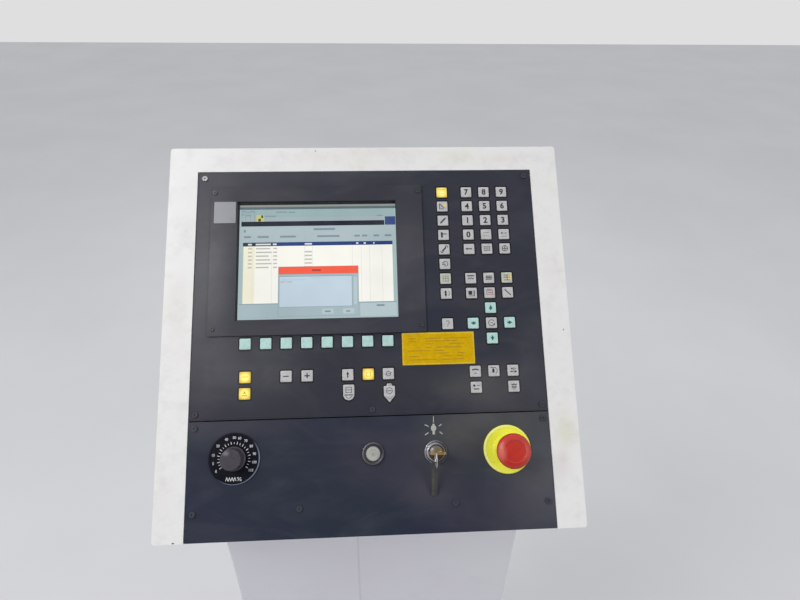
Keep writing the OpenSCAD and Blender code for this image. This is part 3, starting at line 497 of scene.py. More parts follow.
yc = ym.mix(ym.math("MULTIPLY", fleck, 0.55), yc, (0.50, 0.44, 0.03, 1))
# painted highlight: the disc's rim is lighter on its left
rim_highlight_ = ym.math("MULTIPLY", ym.math("MULTIPLY", ym.span(yr_, 26.6, 27.6), ym.span(yr_, 29.0, 29.7, 1.0, 0.0)), ym.span(ym.math("ADD", yx_, ym.math("MULTIPLY", yy_, -0.3)), -22.0, 2.0, 1.0, 0.15))
yc = ym.mix(ym.math("MULTIPLY", rim_highlight_, 0.75), yc, (0.95, 0.95, 0.42, 1))
ym.set(Base_Color=yc)
M["red"] = plastic("estop_red", (0.465, 0.022, 0.010, 1), rough=0.32, vary=0.10, grain=0.02, dust=0.05, worn=0.12)
rm_ = M["red"]
ru_, rv_, rn_ = rm_.uvn()
rc = rm_.b.inputs["Base Color"].links[0].from_socket
# painted highlight on the mushroom's left flank
rc = rm_.mix(rm_.math("MULTIPLY", rm_.blob(ru_, rv_, ESTOP[0] - 16.0, ESTOP[1] - 1.0, 9.0, 15.0), 0.50), rc, (0.80, 0.26, 0.20, 1))
# painted shade: a darker patch left of and below the mushroom's centre
rc = rm_.mix(rm_.math("MULTIPLY", rm_.blob(ru_, rv_, ESTOP[0] - 7.0, ESTOP[1] - 6.0, 6.0, 10.0), 0.45), rc, (0.40, 0.012, 0.030, 1))
rm_.set(Base_Color=rc)
M["tag"] = plastic("tag_strap", (0.036, 0.036, 0.034, 1), rough=0.6, grain=0.2, scale=900, dust=0.35, worn=0.5)
tm = M["tag"]
tu_, tv_, tn_ = tm.uvn()
# painted highlight: a pale stripe down the left part of the strap
tm.set(Base_Color=tm.mix(tm.math("MULTIPLY", tm.blob(tu_, tv_, KEY[0] - 5.4, KEY[1] - 30, 1.9, 34), 0.16), tm.b.inputs["Base Color"].links[0].from_socket, (0.24, 0.24, 0.215, 1)))
M["cable"] = plastic("cable_black", (0.02, 0.02, 0.02, 1), rough=0.55)
M["brass"] = metal("key_metal", (0.78, 0.58, 0.26, 1), rough=0.30, vary=0.05, bump=0.01, tarnish=(0.40, 0.24, 0.08, 1), edge=True)
M["plate"] = metal("plate_metal", (0.24, 0.245, 0.26, 1), rough=0.42, brushed=(1, 24, 24), vary=0.14)
M["device"] = metal("device_metal", (0.56, 0.57, 0.58, 1), rough=0.38, brushed=(1, 14, 14), vary=0.10)
M["black_steel"] = metal("black_steel", (0.10, 0.10, 0.105, 1), rough=0.42, edge=True)
M["label"] = key_film("label_film", lin(208, 166, 2))
M["label"].b.inputs["Specular IOR Level"].default_value = 0.15
M["label_edge"] = key_film("label_edge", lin(214, 184, 50))
M["label_line"] = ink("label_line", lin(160, 118, 6))
M["key_grey"] = key_film("key_grey", lin(191, 190, 191))
M["key_mint"] = key_film("key_mint", lin(181, 215, 210))
M["key_cream"] = key_film("key_cream", lin(192, 193, 180))
M["key_lit"] = lit_film("key_lit")
M["ink_dark"] = ink("ink_dark", lin(34, 34, 40))
M["ink_mid"] = ink("ink_mid", lin(70, 70, 76))
M["ink_faint"] = ink("ink_faint", lin(118, 118, 114))
M["ink_amber"] = ink("ink_amber", lin(196, 150, 30))
M["ink_green"] = ink("ink_green", lin(40, 110, 96))
M["ink_red"] = ink("ink_red", lin(150, 96, 100))
M["ink_yellow"] = ink("ink_yellow", lin(222, 204, 130))
M["ink_white"] = ink("ink_white", lin(228, 228, 226))
M["dial_white"] = ink("dial_white", lin(196, 194, 200))
M["ink_pale"] = ink("ink_pale", lin(176, 176, 172))
M["screw"] = plastic("screw_black", lin(54, 56, 66), rough=0.42, vary=0.08, grain=0.04, dust=0.20)
sm = M["screw"]
su, sv, sn = sm.uvn()
bright = sm.span(sm.blob(su, sv, 47.2, 464.1, 9), 0.05, 0.3)
sm.set(Base_Color=sm.mix(bright, sm.b.inputs["Base Color"].links[0].from_socket, (0.36, 0.36, 0.36, 1)), Metallic=sm.math("MULTIPLY", bright, 0.7))

# display glass: clear, faintly hazed by wiping
g = Mat("display_glass")
g.set(Base_Color=g.mix(g.span(g.noise(30, 3), 0.4, 0.7), (0.10, 0.11, 0.12, 1), (0.26, 0.27, 0.28, 1)),
      Roughness=g.span(g.noise(14, 4, 0.6, 1.0), 0.4, 0.7, 0.08, 0.22), Alpha=g.span(g.noise(8, 4, 0.6), 0.3, 0.7, 0.03, 0.075))
M["glass"] = g


def dress(name, key):
    o = NODE[name]
    o.data.materials.clear()
    o.data.materials.append(M[key].m)


# ------------------------------------------------------------------ CAD nodes keep their shape; edges get a small radius
def crisp():
    """Drops the imported custom normals, welds the mesh and shades it smooth."""
    t = bpy.data.node_groups.new("crisp", "GeometryNodeTree")
    t.interface.new_socket("Geometry", in_out="INPUT", socket_type="NodeSocketGeometry")
    t.interface.new_socket("Geometry", in_out="OUTPUT", socket_type="NodeSocketGeometry")
    i, o = t.nodes.new("NodeGroupInput"), t.nodes.new("NodeGroupOutput")
    rm = t.nodes.new("GeometryNodeRemoveAttribute")
    rm.inputs["Name"].default_value = "custom_normal"
    md = t.nodes.new("GeometryNodeMergeByDistance")
    md.inputs["Distance"].default_value = 0.000004
    s1 = t.nodes.new("GeometryNodeSetShadeSmooth")
    t.links.new(i.outputs[0], rm.inputs["Geometry"])
    t.links.new(rm.outputs[0], md.inputs["Geometry"])
    t.links.new(md.outputs[0], s1.inputs["Geometry"])
    t.links.new(s1.outputs[0], o.inputs[0])
    return t


def sharpen():
    t = bpy.data.node_groups.new("sharpen", "GeometryNodeTree")
    t.interface.new_socket("Geometry", in_out="INPUT", socket_type="NodeSocketGeometry")
    t.interface.new_socket("Geometry", in_out="OUTPUT", socket_type="NodeSocketGeometry")
    i, o = t.nodes.new("NodeGroupInput"), t.nodes.new("NodeGroupOutput")
    ea = t.nodes.new("GeometryNodeInputMeshEdgeAngle")
    cm = t.nodes.new("FunctionNodeCompare")
    cm.operation = "GREATER_THAN"
    cm.inputs[1].default_value = math.radians(35)
    s2 = t.nodes.new("GeometryNodeSetShadeSmooth")
    s2.domain = "EDGE"
    s2.inputs["Shade Smooth"].default_value = False
    t.links.new(i.outputs[0], s2.inputs["Geometry"])
    t.links.new(ea.outputs["Unsigned Angle"], cm.inputs[0])
    t.links.new(cm.outputs[0], s2.inputs["Selection"])
    t.links.new(s2.outputs[0], o.inputs[0])
    return t


CRISP, SHARPEN = crisp(), sharpen()


SLOTTED = ("column_cover", "control_computer", "power_supply", "pedestal_column", "head_shell", "upper_panel", "rear_door", "dial_knob")


def soften(name, width, segments=2, angle=34):
    o = NODE[name]
    a = o.modifiers.new("weld", "NODES")
    a.node_group = CRISP
    if width:
        if name not in SLOTTED:
            d = o.modifiers.new("planar", "DECIMATE")
            d.decimate_type = "DISSOLVE"
            d.angle_limit = math.radians(0.6)
        b = o.modifiers.new("edge_radius", "BEVEL")
        b.width = width / 1000
        b.segments = segments
        b.limit_method = "ANGLE"
        b.angle_limit = math.radians(angle)
        b.use_clamp_overlap = True
        b.miter_outer = "MITER_ARC"
    s = o.modifiers.new("sharp", "NODES")
    s.node_group = SHARPEN
    if width:
        w = o.modifiers.new("flat_shading", "WEIGHTED_NORMAL")
        w.mode = "FACE_AREA"
        w.weight = 100
        w.keep_sharp = True


LOOKS = {
    "head_shell": ("casing", 1.0), "rear_door": ("door", 0.5), "pedestal_column": ("column", 0.6), "column_cover": ("column", 0.3),
    "panel_crossbar": ("crossbar", 0), "upper_panel": ("panel", 0.15), "lower_panel": ("panel_low", 0.25), "keypad_board": ("board", 0),
    "machine_key_board": ("board", 0), "display_bezel": ("bezel", 0.5), "display_window": ("glass", 0), "display_gasket": ("rubber", 0),
    "display_module": ("black", 0), "panel_screws": ("screw", 0.15), "bezel_screws": ("black_steel", 0.12), "nameplate": ("plate", 0.15),
    "notice_plate": ("label", 0.12), "dial_plate": ("dial_black", 0), "dial_knob": ("knob", 0.3), "dial_shaft": ("steel", 0),
    "dial_switch": ("black", 0.3), "dial_nut": ("nut", 0.2), "button_body": ("button_ring", 0.15), "button_lens": ("lens", 0.15),
    "button_contacts": ("black", 0.3), "key_body": ("key_ring_body", 0.15), "key_rotor": ("barrel", 0.12), "switch_key": ("brass", 0.35),
    "key_ring": ("steel", 0), "key_tag": ("tag", 0.2), "key_contacts": ("black", 0.3), "estop_plate": ("yellow", 0.2),
    "estop_body": ("yellow", 0.2), "estop_mushroom": ("red", 0.4), "estop_stem": ("black", 0.2), "estop_contacts": ("black", 0.3),
    "ring_nuts": ("black", 0.3), "mounting_plate": ("zinc", 0.2), "control_computer": ("device", 0.3), "power_supply": ("device", 0.3),
    "din_rail": ("zinc", 0.1), "terminal_blocks": ("grey_plastic", 0.25), "wiring_duct": ("grey_plastic", 0.2), "control_loom": ("cable", 0),
    "display_cable": ("cable", 0), "fan_housing": ("black", 0.5), "fan_rotor": ("black", 0.3), "door_gasket": ("rubber", 0.4),
    "hinge_fixed": ("steel", 0.3), "hinge_moving": ("steel", 0.3), "hinge_pins": ("steel", 0.15), "door_lock": ("chrome", 0.4),
    "lock_cam": ("black_steel", 0.3), "cover_screws": ("steel", 0.15), "base_plate": ("base", 0.8), "head_bolts": ("steel", 0.3),
    "gland_plate": ("zinc", 0.2), "cable_glands": ("black", 0.3),
}
for name, (key, width) in LOOKS.items():
    dress(name, key)
    soften(name, width)


# ------------------------------------------------------------------ mesh pieces
class Piece:
    """A mesh in face coordinates (millimetres)."""

    def __init__(self, name, mats, place=P):
        self.name, self.bm, self.place = name, bmesh.new(), place
        self.keys = list(mats)
        self.flat = self.bm.faces.layers.int.new("flat_face")

    def pt(self, x, y, z):
        return self.bm.verts.new(self.place(x, y, z))

    def face(self, vs, key, smooth=True):
        try:
            f = self.bm.faces.new(vs)
        except ValueError:
            return None
        f.material_index = self.keys.index(key)
        f[self.flat] = 0 if smooth else 1
        return f

    def ring(self, pts, z):
        return [self.pt(x, y, z) for x, y in pts]

    def bridge(self, a, b, key):
        k = len(a)
        for i in range(k):
            self.face([a[i], a[(i + 1) % k], b[(i + 1) % k], b[i]], key)

    def cap(self, ring, key, flip=False):
        self.face(ring[::-1] if flip else ring, key)

    def prism(self, poly, z0, z1, key):
        """Closed prism from a counter-clockwise outline."""
        area = sum(poly[i][0] * poly[(i + 1) % len(poly)][1] - poly[(i + 1) % len(poly)][0] * poly[i][1] for i in range(len(poly)))
        if area < 0:
            poly = poly[::-1]
        lo, hi = self.ring(poly, z0), self.ring(poly, z1)
        self.bridge(lo, hi, key)
        self.cap(hi, key)
        self.cap(lo, key, True)

    def ribbon(self, pts, w, z0, z1, key, closed=False):
        """Closed strip of width w along a polyline."""
        n = len(pts)
        left, rgt = [], []
        for i in range(n):
            if closed:
                a, b = Vector(pts[i - 1]), Vector(pts[(i + 1) % n])
            else:
                a, b = Vector(pts[max(i - 1, 0)]), Vector(pts[min(i + 1, n - 1)])
            p = Vector(pts[i])
            d1 = (p - a).normalized() if (p - a).length > 1e-9 else (b - p).normalized()
            d2 = (b - p).normalized() if (b - p).length > 1e-9 else d1
            d = (d1 + d2)
            d = d.normalized() if d.length > 1e-6 else d1
            nrm = Vector((-d.y, d.x))
            k = max(0.35, abs(nrm.dot(Vector((-d1.y, d1.x)))))
            left.append(p + nrm * (w / 2 / k))
            rgt.append(p - nrm * (w / 2 / k))
        if closed:
            lo1, hi1, lo2, hi2 = (self.ring([(q.x, q.y) for q in left], z0), self.ring([(q.x, q.y) for q in left], z1),
                                  self.ring([(q.x, q.y) for q in rgt], z0), self.ring([(q.x, q.y) for q in rgt], z1))
            self.bridge(hi1, lo1, key), self.bridge(lo2, hi2, key), self.bridge(hi2, hi1, key), self.bridge(lo1, lo2, key)
        else:
            lo, hi = [], []
            for l, r in zip(left, rgt):
                lo.append((self.pt(l.x, l.y, z0), self.pt(r.x, r.y, z0)))
                hi.append((self.pt(l.x, l.y, z1), self.pt(r.x, r.y, z1)))
            for i in range(n - 1):
                self.face([hi[i][0], hi[i][1], hi[i + 1][1], hi[i + 1][0]], key)
                self.face([lo[i][1], lo[i][0], lo[i + 1][0], lo[i + 1][1]], key)
                self.face([lo[i][0], hi[i][0], hi[i + 1][0], lo[i + 1][0]], key)
                self.face([hi[i][1], lo[i][1], lo[i + 1][1], hi[i + 1][1]], key)
            self.face([lo[0][1], hi[0][1], hi[0][0], lo[0][0]], key)
            self.face([lo[-1][0], hi[-1][0], hi[-1][1], lo[-1][1]], key)

    def disc(self, x, y, r, z0, z1, key, seg=28):
        self.prism(circle(x, y, r, seg), z0, z1, key)

    def annulus(self, x, y, r, w, z0, z1, key, seg=40):
        self.ribbon(circle(x, y, r, seg), w, z0, z1, key, closed=True)

    def arc(self, x, y, r, a0, a1, w, z0, z1, key, seg=18):
        self.ribbon([(x + r * math.cos(math.radians(a0 + (a1 - a0) * i / seg)), y + r * math.sin(math.radians(a0 + (a1 - a0) * i / seg))) for i in range(seg + 1)], w, z0, z1, key)

    def text(self, s, x, y, size, z0, z1, key, turn=0.0, squeeze=1.0, bold=0.0):
        cu = bpy.data.curves.new("glyph", "FONT")
        cu.body, cu.size, cu.resolution_u = s, 1.0, 5
        cu.extrude = 0.5
        cu.offset = bold
        ob = bpy.data.objects.new("glyph", cu)
        COL.objects.link(ob)
        bpy.context.view_layer.update()
        me = bpy.data.meshes.new_from_object(ob.evaluated_get(bpy.context.evaluated_depsgraph_get()))
        xs, ys = [v.co.x for v in me.vertices], [v.co.y for v in me.vertices]
        cx, cy, hgt = (min(xs) + max(xs)) / 2, (min(ys) + max(ys)) / 2, max(ys) - min(ys)
        k = size / max(hgt, 1e-6)
        ca, sa = math.cos(turn), math.sin(turn)
        vs = []
        for v in me.vertices:
            a, b = (v.co.x - cx) * k * squeeze, (v.co.y - cy) * k
            vs.append(self.pt(x + a * ca - b * sa, y + a * sa + b * ca, z1 if v.co.z > 0 else z0))
        for p in me.polygons:
            self.face([vs[i] for i in p.vertices], key)
        bpy.data.objects.remove(ob)
        bpy.data.curves.remove(cu)
        bpy.data.meshes.remove(me)

    def done(self, body, slot, angle=40, weld=1e-6):
        bmesh.ops.remove_doubles(self.bm, verts=self.bm.verts, dist=weld)
        bmesh.ops.recalc_face_normals(self.bm, faces=self.bm.faces)
        me = bpy.data.meshes.new(self.name)
        self.bm.to_mesh(me)
        self.bm.free()
        for k in self.keys:
            me.materials.append(M[k].m)
        me.set_sharp_from_angle(angle=math.radians(angle))
        for poly, tag in zip(me.polygons, [d.value for d in me.attributes["flat_face"].data]):
            if tag:
                poly.use_smooth = False
        me.attributes.remove(me.attributes["flat_face"])
        ob = bpy.data.objects.new(self.name, me)
        COL.objects.link(ob)
        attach(ob, body)
        return ob


def circle(x, y, r, seg):
    return [(x + r * math.cos(2 * math.pi * i / seg), y + r * math.sin(2 * math.pi * i / seg)) for i in range(seg)]


def rounded(poly, r, seg=5):
    """Rounds a polygon's corners."""
    out, n = [], len(poly)
    for i in range(n):
        p, a, b = Vector(poly[i]), Vector(poly[i - 1]), Vector(poly[(i + 1) % n])
        d1, d2 = (a - p), (b - p)
        rr = min(r, d1.length * 0.45, d2.length * 0.45)
        d1.normalize(), d2.normalize()
        half = math.acos(max(-1, min(1, d1.dot(d2)))) / 2
        if half > math.radians(86):
            out.append((p.x, p.y))
            continue
        t = rr
        q1, q2 = p + d1 * t, p + d2 * t
        for k in range(seg + 1):
            s = k / seg
            q = q1 * (1 - s) ** 2 + p * 2 * s * (1 - s) + q2 * s ** 2
            out.append((q.x, q.y))
    return out


def grow(poly, d):
    """Moves a counter-clockwise outline outwards by d."""
    out, n = [], len(poly)
    for i in range(n):
        a, p, b = Vector(poly[i - 1]), Vector(poly[i]), Vector(poly[(i + 1) % n])
        e1, e2 = (p - a).normalized(), (b - p).normalized()
        n1, n2 = Vector((e1.y, -e1.x)), Vector((e2.y, -e2.x))
        m = (n1 + n2)
        m = m.normalized() if m.length > 1e-6 else n1
        k = max(0.5, m.dot(n1))
        q = p + m * (d / k)
        out.append((q.x, q.y))
    return out


def rect(x0, y0, x1, y1):
    return [(x0, y0), (x1, y0), (x1, y1), (x0, y1)]


# ------------------------------------------------------------------ keypad foil
KEYS = []          # (u, v, colour, picture)
for j, row in enumerate(("789", "456", "123")):
    for k, s in enumerate(row):
        KEYS.append((KX[k], krow(j), "key_grey", s))
KEYS += [(KX[0], krow(3), "key_grey", "0"), (KX[1], krow(3), "key_grey", "dots"), (KX[2], krow(3), "key_grey", "sign"),
         (KX[0], krow(4), "key_grey", "dash"), (KX[1], krow(4), "key_grey", "field"), (KX[2], krow(4), "key_grey", "target"),
         (KX[0], krow(6), "key_grey", "wave"), (KX[1], krow(6), "key_grey", "lines"), (KX[2], krow(6), "key_cream", "table"),
         (KX[0], krow(7), "key_grey", "block"), (KX[1], krow(7), "key_grey", "cross"), (KX[2], krow(7), "key_grey", "slash"),
         (KX[1], krow(8), "key_mint", "up"), (KX[0], krow(9), "key_mint", "left"), (KX[1], krow(9), "key_grey", "cycle"),
         (KX[2], krow(9), "key_mint", "right"), (KX[1], krow(10), "key_mint", "down"),
         (KA, krow(0), "key_lit", "lit_bar"), (KA, krow(1), "key_grey", "angle"), (KA, krow(2), "key_grey", "pen"),
         (KA, krow(3), "key_grey", "mark"), (KA, krow(4), "key_grey", "wrench"), (KA, krow(5), "key_grey", "turn"),
         (KA, krow(6), "key_cream", "grid"), (KA, krow(7), "key_grey", "updown"), (KA, krow(9), "key_grey", "query"),
         (106.2, 196, "key_lit", "lit_line"), (157.8, 196, "key_grey", "minus"), (184.4, 196, "key_grey", "plus"),
         (236, 196, "key_grey", "raise"), (262.3, 196, "key_lit", "lit_square"), (288, 196, "key_grey", "ring"),
         (400.7, 196, "key_grey", "band"), (424.9, 196, "key_grey", "gauge"), (449.9, 196, "key_grey", "split"),
         (106.1, 175.6, "key_lit", "lit_arrow"), (400.8, 175.5, "key_grey", "dotbar"), (449.8, 175.5, "key_grey", "knot")]
KEYS += [(105.4 + 26.15 * k, 238.5, "key_mint", None) for k in range(8)]
START, STOP = (237.0, 172.8), (288.7, 172.3)
TOP = 0.30          # height of a key's top

square = rounded(rect(-7, -7, 7, 7), 1.15)
d_shape = rounded([(-7, 10.5), (-7, -2)] + [(7 * math.cos(math.radians(a)), -2 + 7 * math.sin(math.radians(a))) for a in range(195, 346, 15)] + [(7, -2), (7, 10.5)], 1.2, 3)
point = rounded([(-7, 8), (-7, -4), (0, -12.5), (7, -4), (7, 8), (3, 8), (3, 11), (-3, 11), (-3, 8)], 1.0, 3)

foil = Piece("keypad_foil", ["foil", "moat", "key_grey", "key_mint", "key_lit", "key_cream"])
holes = []
# offset from the key's outline, height, material of the band that ends there
PROFILE = [(2.45, -0.60, None), (2.2, -0.49, "foil"), (1.7, -0.49, "moat"), (1.4, -0.60, "moat"), (0.35, -0.62, "moat"), (0.12, -0.45, "moat"),
           (0.0, -0.10, "TOP"), (-0.22, 0.14, "TOP"), (-0.65, 0.26, "TOP"), (-1.5, TOP, "TOP")]
for u, v, colour, pic in KEYS + [(*START, "key_grey", None), (*STOP, "key_grey", None)]:
    shape = d_shape if (u, v) == START else point if (u, v) == STOP else square
    prev = None
    for d, n, key in PROFILE:
        if shape is not square and d > 1.0:
            d = d * 0.86
        if d < 0:
            mid = 0.75 if shape is d_shape else -0.75 if shape is point else 0.0
            line = [(x * (1 + d / 7), mid + (y - mid) * (1 + d / 7)) for x, y in shape]
        else:
            line = grow(shape, d)
        ring = foil.ring([(u + x, v + y) for x, y in line], n)
        if prev is None:
            holes.append(ring)
        else:
            foil.bridge(prev, ring, colour if key == "TOP" else key)
        prev = ring
    foil.cap(prev, colour)

lo, hi = (38.9, 145.4), (491.1, 472.1)
outer = rounded(rect(lo[0], lo[1], hi[0], hi[1]), 1.2, 3)
win = rounded(rect(56.7, 248.7, 339.8, 452.3), 2.2, 4)
screws = [(47.2, 464.1), (482.8, 464.1), (45.5, 151.5), (266.5, 151.5), (484.5, 151.5)]
round_holes = [circle(x, y, 4.2, 28) for x, y in screws]


def sheet_fill(piece, loops, key, flip=False):
    """Fills between an outer loop of vertices and its holes."""
    flat = [v for loop in loops for v in loop]
    inv = Matrix(((1, 0, 0), (0, C, C), (0, -C, C)))
    pts = [[inv @ v.co for v in loop] for loop in loops]
    for tri in tessellate_polygon([[Vector((p.x, p.y, 0)) for p in loop] for loop in pts]):
        vs = [flat[i] for i in tri]
        piece.face(vs[::-1] if flip else vs, key, smooth=False)


top_loops = [foil.ring(outer, -0.60), foil.ring(win, -0.60)] + [foil.ring(c, -0.60) for c in round_holes]
low_loops = [foil.ring(outer, -1.0), foil.ring(win, -1.0)] + [foil.ring(c, -1.0) for c in round_holes]
sheet_fill(foil, top_loops + holes, "foil")
sheet_fill(foil, low_loops, "foil", True)
for a, b in zip(top_loops, low_loops):
    foil.bridge(b, a, "foil")
foil_ob = foil.done("console", "foil", angle=28)
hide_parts("key_overlay")

# ------------------------------------------------------------------ key pictures
pics = Piece("key_pictures", ["ink_dark", "ink_mid", "ink_faint", "ink_amber", "ink_green", "ink_red", "ink_yellow"])
Z = (TOP - 0.01, TOP + 0.025)


def tri(cx, cy, r, turn):
    return [(cx + r * math.cos(math.radians(turn + a)), cy + r * math.sin(math.radians(turn + a))) for a in (0, 125, 235)]


def picture(u, v, pic):
    def line(pts, w=0.8, key="ink_dark"):
        pics.ribbon([(u + x, v + y) for x, y in pts], w * 1.25, *Z, key)

    def poly(pts, key="ink_dark"):
        pics.prism([(u + x, v + y) for x, y in pts], *Z, key)

    if pic in "0123456789":
        pics.text(pic, u, v, 8.4, *Z, "ink_dark", squeeze=0.98, bold=0.034)
    elif pic == "dots":
        for x in (-2.6, 0, 2.6):
            poly(rect(x - 0.6, -2.6, x + 0.6, -1.4), "ink_faint")
        line([(-3.6, 2.2), (3.6, 2.2)], 0.6, "ink_faint")
    elif pic == "sign":
        line([(-4, 1.4), (-1, 1.4)], 0.9, "ink_mid"), line([(1, 1.4), (4, 1.4)], 0.9, "ink_mid"), line([(-2.5, -0.2), (-2.5, 3)], 0.9, "ink_mid")
        line([(-3.6, -3.4), (3.6, -3.4)], 0.6, "ink_faint")
    elif pic == "dash":
        line([(-3.2, 0), (3.8, 0)], 1.1), poly(tri(-3.4, 0, 1.9, 180))
    elif pic == "field":
        for x in (-3.6, -1.2, 1.2, 3.6):
            line([(x, -1.8), (x, 1.8)], 0.8, "ink_mid")
        line([(-4.6, -2.8), (4.6, -2.8)], 0.6, "ink_mid"), line([(-4.6, 2.8), (4.6, 2.8)], 0.6, "ink_mid")
    elif pic == "target":
        pics.annulus(u, v, 3.7, 0.9, *Z, "ink_dark")
        line([(-3, 0), (3, 0)], 0.8), line([(0, -3), (0, 3)], 0.8)
    elif pic == "wave":
        line([(-4.6, 3.2), (4.6, 3.2)], 1.3, "ink_mid")
        line([(-4, -1.4), (-2.4, 0.4), (-0.6, -1.2), (1, 0.4), (2.6, -1.4), (4.2, 0)], 0.8, "ink_mid")
    elif pic == "lines":
        for y in (-1.8, 0.2, 2.2):
            line([(-4.2, y), (4.2, y)], 1.0)
    elif pic == "table":
        for y in (-3.4, 0.4, 3.4):
            line([(-4.2, y), (4.2, y)], 0.7, "ink_mid")
        line([(0.6, -3.4), (0.6, 3.4)], 0.6, "ink_mid")
        poly(rect(1.4, -3.0, 5.4, 4.6), "ink_yellow")
    elif pic == "block":
        poly(rect(-4.2, -2.4, 0.8, 2.8)), line([(3.4, -3.4), (3.4, 3.6)], 1.2, "ink_mid"), line([(-4.2, -4), (4, -4)], 0.7, "ink_mid")
    elif pic == "cross":
        pics.ribbon([(u + x, v + y) for x, y in rect(-4, -2.6, 4, 2.6)], 0.8, *Z, "ink_red", closed=True)
        line([(-2.6, 0), (2.6, 0)], 0.9, "ink_red"), line([(-3.8, 4.4), (3.8, 4.4)], 0.8, "ink_red")
    elif pic == "slash":
        line([(-4, 4), (4, -4)], 1.1, "ink_mid")
    elif pic in ("up", "down", "left", "right"):
        t = {"up": 90, "down": 270, "left": 180, "right": 0}[pic]
        c, s = math.cos(math.radians(t)), math.sin(math.radians(t))
        poly(tri(c * 0.4, s * 0.4, 3.3, t), "ink_green")
        line([(-c * 3.4, -s * 3.4), (0, 0)], 1.5, "ink_green")
    elif pic == "cycle":
        pics.arc(u, v, 3.9, 40, 330, 0.9, *Z, "ink_mid", 26)
        poly(tri(3.5, -1.6, 1.7, 80), "ink_mid")
        line([(-1.8, 0), (1.8, 0)], 0.7, "ink_mid")
    elif pic == "angle":
        line([(-3.8, 4), (-3.8, -3.6), (1.8, -3.6)], 0.8, "ink_mid"), line([(-3.4, 3.4), (2.6, -2.6)], 0.9, "ink_mid")
        poly(rect(1.6, -1.0, 5.2, 4.6), "ink_yellow")
    elif pic == "pen":
        line([(-3.2, -3.4), (2.2, 2.2)], 1.9, "ink_mid"), line([(1.4, 1.4), (3.6, 3.8)], 1.2), line([(-4, -4.2), (-3, -3.2)], 0.7)
    elif pic == "mark":
        poly(rect(-3.6, -3.8, -1.2, 3.6)), line([(-1.2, 1.2), (4.2, 1.2)], 1.0)
    elif pic == "wrench":
        line([(-3, -3), (2.4, 2.6)], 1.5)
        pics.arc(u + 2.9, v + 3.1, 1.6, -30, 250, 1.0, *Z, "ink_dark")
        pics.arc(u - 3.3, v - 3.3, 1.5, 140, 420, 0.9, *Z, "ink_dark")
    elif pic == "turn":
        pics.arc(u + 0.4, v, 3.4, -70, 140, 0.9, *Z, "ink_mid")
        line([(-4, -0.6), (1.2, -0.6)], 0.9, "ink_mid"), line([(-4, 1.4), (-0.6, 1.4)], 0.7, "ink_mid"), line([(-1.6, -3), (1.4, -3)], 0.8, "ink_mid")
    elif pic == "grid":
        for x in (-3.4, 0, 3.4):
            line([(x, -4), (x, 4)], 0.5, "ink_faint")
        for y in (-3.4, 0, 3.4):
            line([(-4, y), (4, y)], 0.5, "ink_faint")
    elif pic == "updown":
        poly(tri(-0.8, 2.3, 2.3, 90)), poly(tri(-0.8, -2.3, 2.3, 270)), line([(-0.8, -2), (-0.8, 2)], 1.3)
        pics.arc(u + 0.2, v, 4.1, -50, 50, 0.7, *Z, "ink_mid", 10)
    elif pic == "query":
        pics.arc(u, v + 1.8, 2.1, -60, 170, 0.9, *Z, "ink_faint"), line([(0.6, -0.2), (0, -1.8)], 0.9, "ink_faint")
        pics.disc(u, v - 3.6, 0.7, *Z, "ink_faint", 14)
    elif pic == "lit_bar":
        pics.ribbon([(u + x, v + y) for x, y in rect(-3.4, -2.2, 3.4, 2.2)], 0.5, *Z, "ink_amber", closed=True)
        line([(-4, 4), (4, 4)], 0.5, "ink_amber")
    elif pic == "lit_line":
        line([(-3.6, 0.6), (3.6, 0.6)], 0.6, "ink_amber")
    elif pic == "lit_square":
        pics.ribbon([(u + x, v + y) for x, y in rect(-2.8, -2.6, 2.8, 2.6)], 0.6, *Z, "ink_amber", closed=True)
    elif pic == "lit_arrow":
        poly(tri(0, 1.9, 1.6, 90), "ink_amber"), line([(-3.4, -2.4), (3.4, -2.4)], 0.9, "ink_amber"), line([(-2.6, 0.2), (2.6, 0.2)], 0.5, "ink_amber")
    elif pic == "minus":
        line([(-3.6, 0), (3.6, 0)], 1.0)
    elif pic == "plus":
        line([(-3.4, 0), (3.4, 0)], 1.2), line([(0, -3.2), (0, 3.2)], 1.2)
    elif pic == "raise":
        poly(tri(0, 1.8, 2.4, 90)), line([(0, -3.8), (0, 1)], 1.2)
    elif pic == "ring":
        pics.annulus(u, v, 2.9, 0.7, *Z, "ink_mid"), line([(-4.2, -1), (4.2, 1)], 0.5, "ink_mid")
    elif pic == "band":
        pics.arc(u, v - 6, 8.6, 60, 120, 1.6, *Z, "ink_mid", 10), line([(-2, -2.6), (2, -2.6)], 0.9, "ink_faint")
    elif pic == "gauge":
        poly(rounded(rect(-2.2, -2.4, 0.6, 3.0), 1.1)), pics.arc(u + 0.2, v, 4, -60, 60, 0.7, *Z, "ink_mid", 10), line([(-4.6, 4.2), (2.6, 4.2)], 0.7, "ink_mid")
    elif pic == "split":
        line([(1.2, -4), (1.2, 4)], 0.7, "ink_mid"), poly(tri(-1.4, 2.0, 1.9, 270)), line([(-3.6, -1.6), (-0.2, -1.6)], 1.1), pics.disc(u + 3.4, v - 1.6, 1.3, *Z, "ink_dark", 14)
        line([(2.2, 1.8), (4.6, 1.8)], 0.6, "ink_mid")
    elif pic == "dotbar":
        pics.disc(u - 2.6, v + 2.2, 1.5, *Z, "ink_dark", 18), line([(0.6, 2.2), (4.4, 2.2)], 0.7, "ink_mid"), line([(-3.6, -2.2), (3.8, -2.2)], 1.1, "ink_mid")
    elif pic == "knot":
        line([(-3.4, 3), (-1.4, 1.4), (0.2, 3.2), (2, 1.4), (3.8, 3)], 0.9), line([(-3.2, -1), (3.2, -1)], 1.4, "ink_mid"), line([(-2.2, -3.4), (2.2, -3.4)], 0.6, "ink_mid")


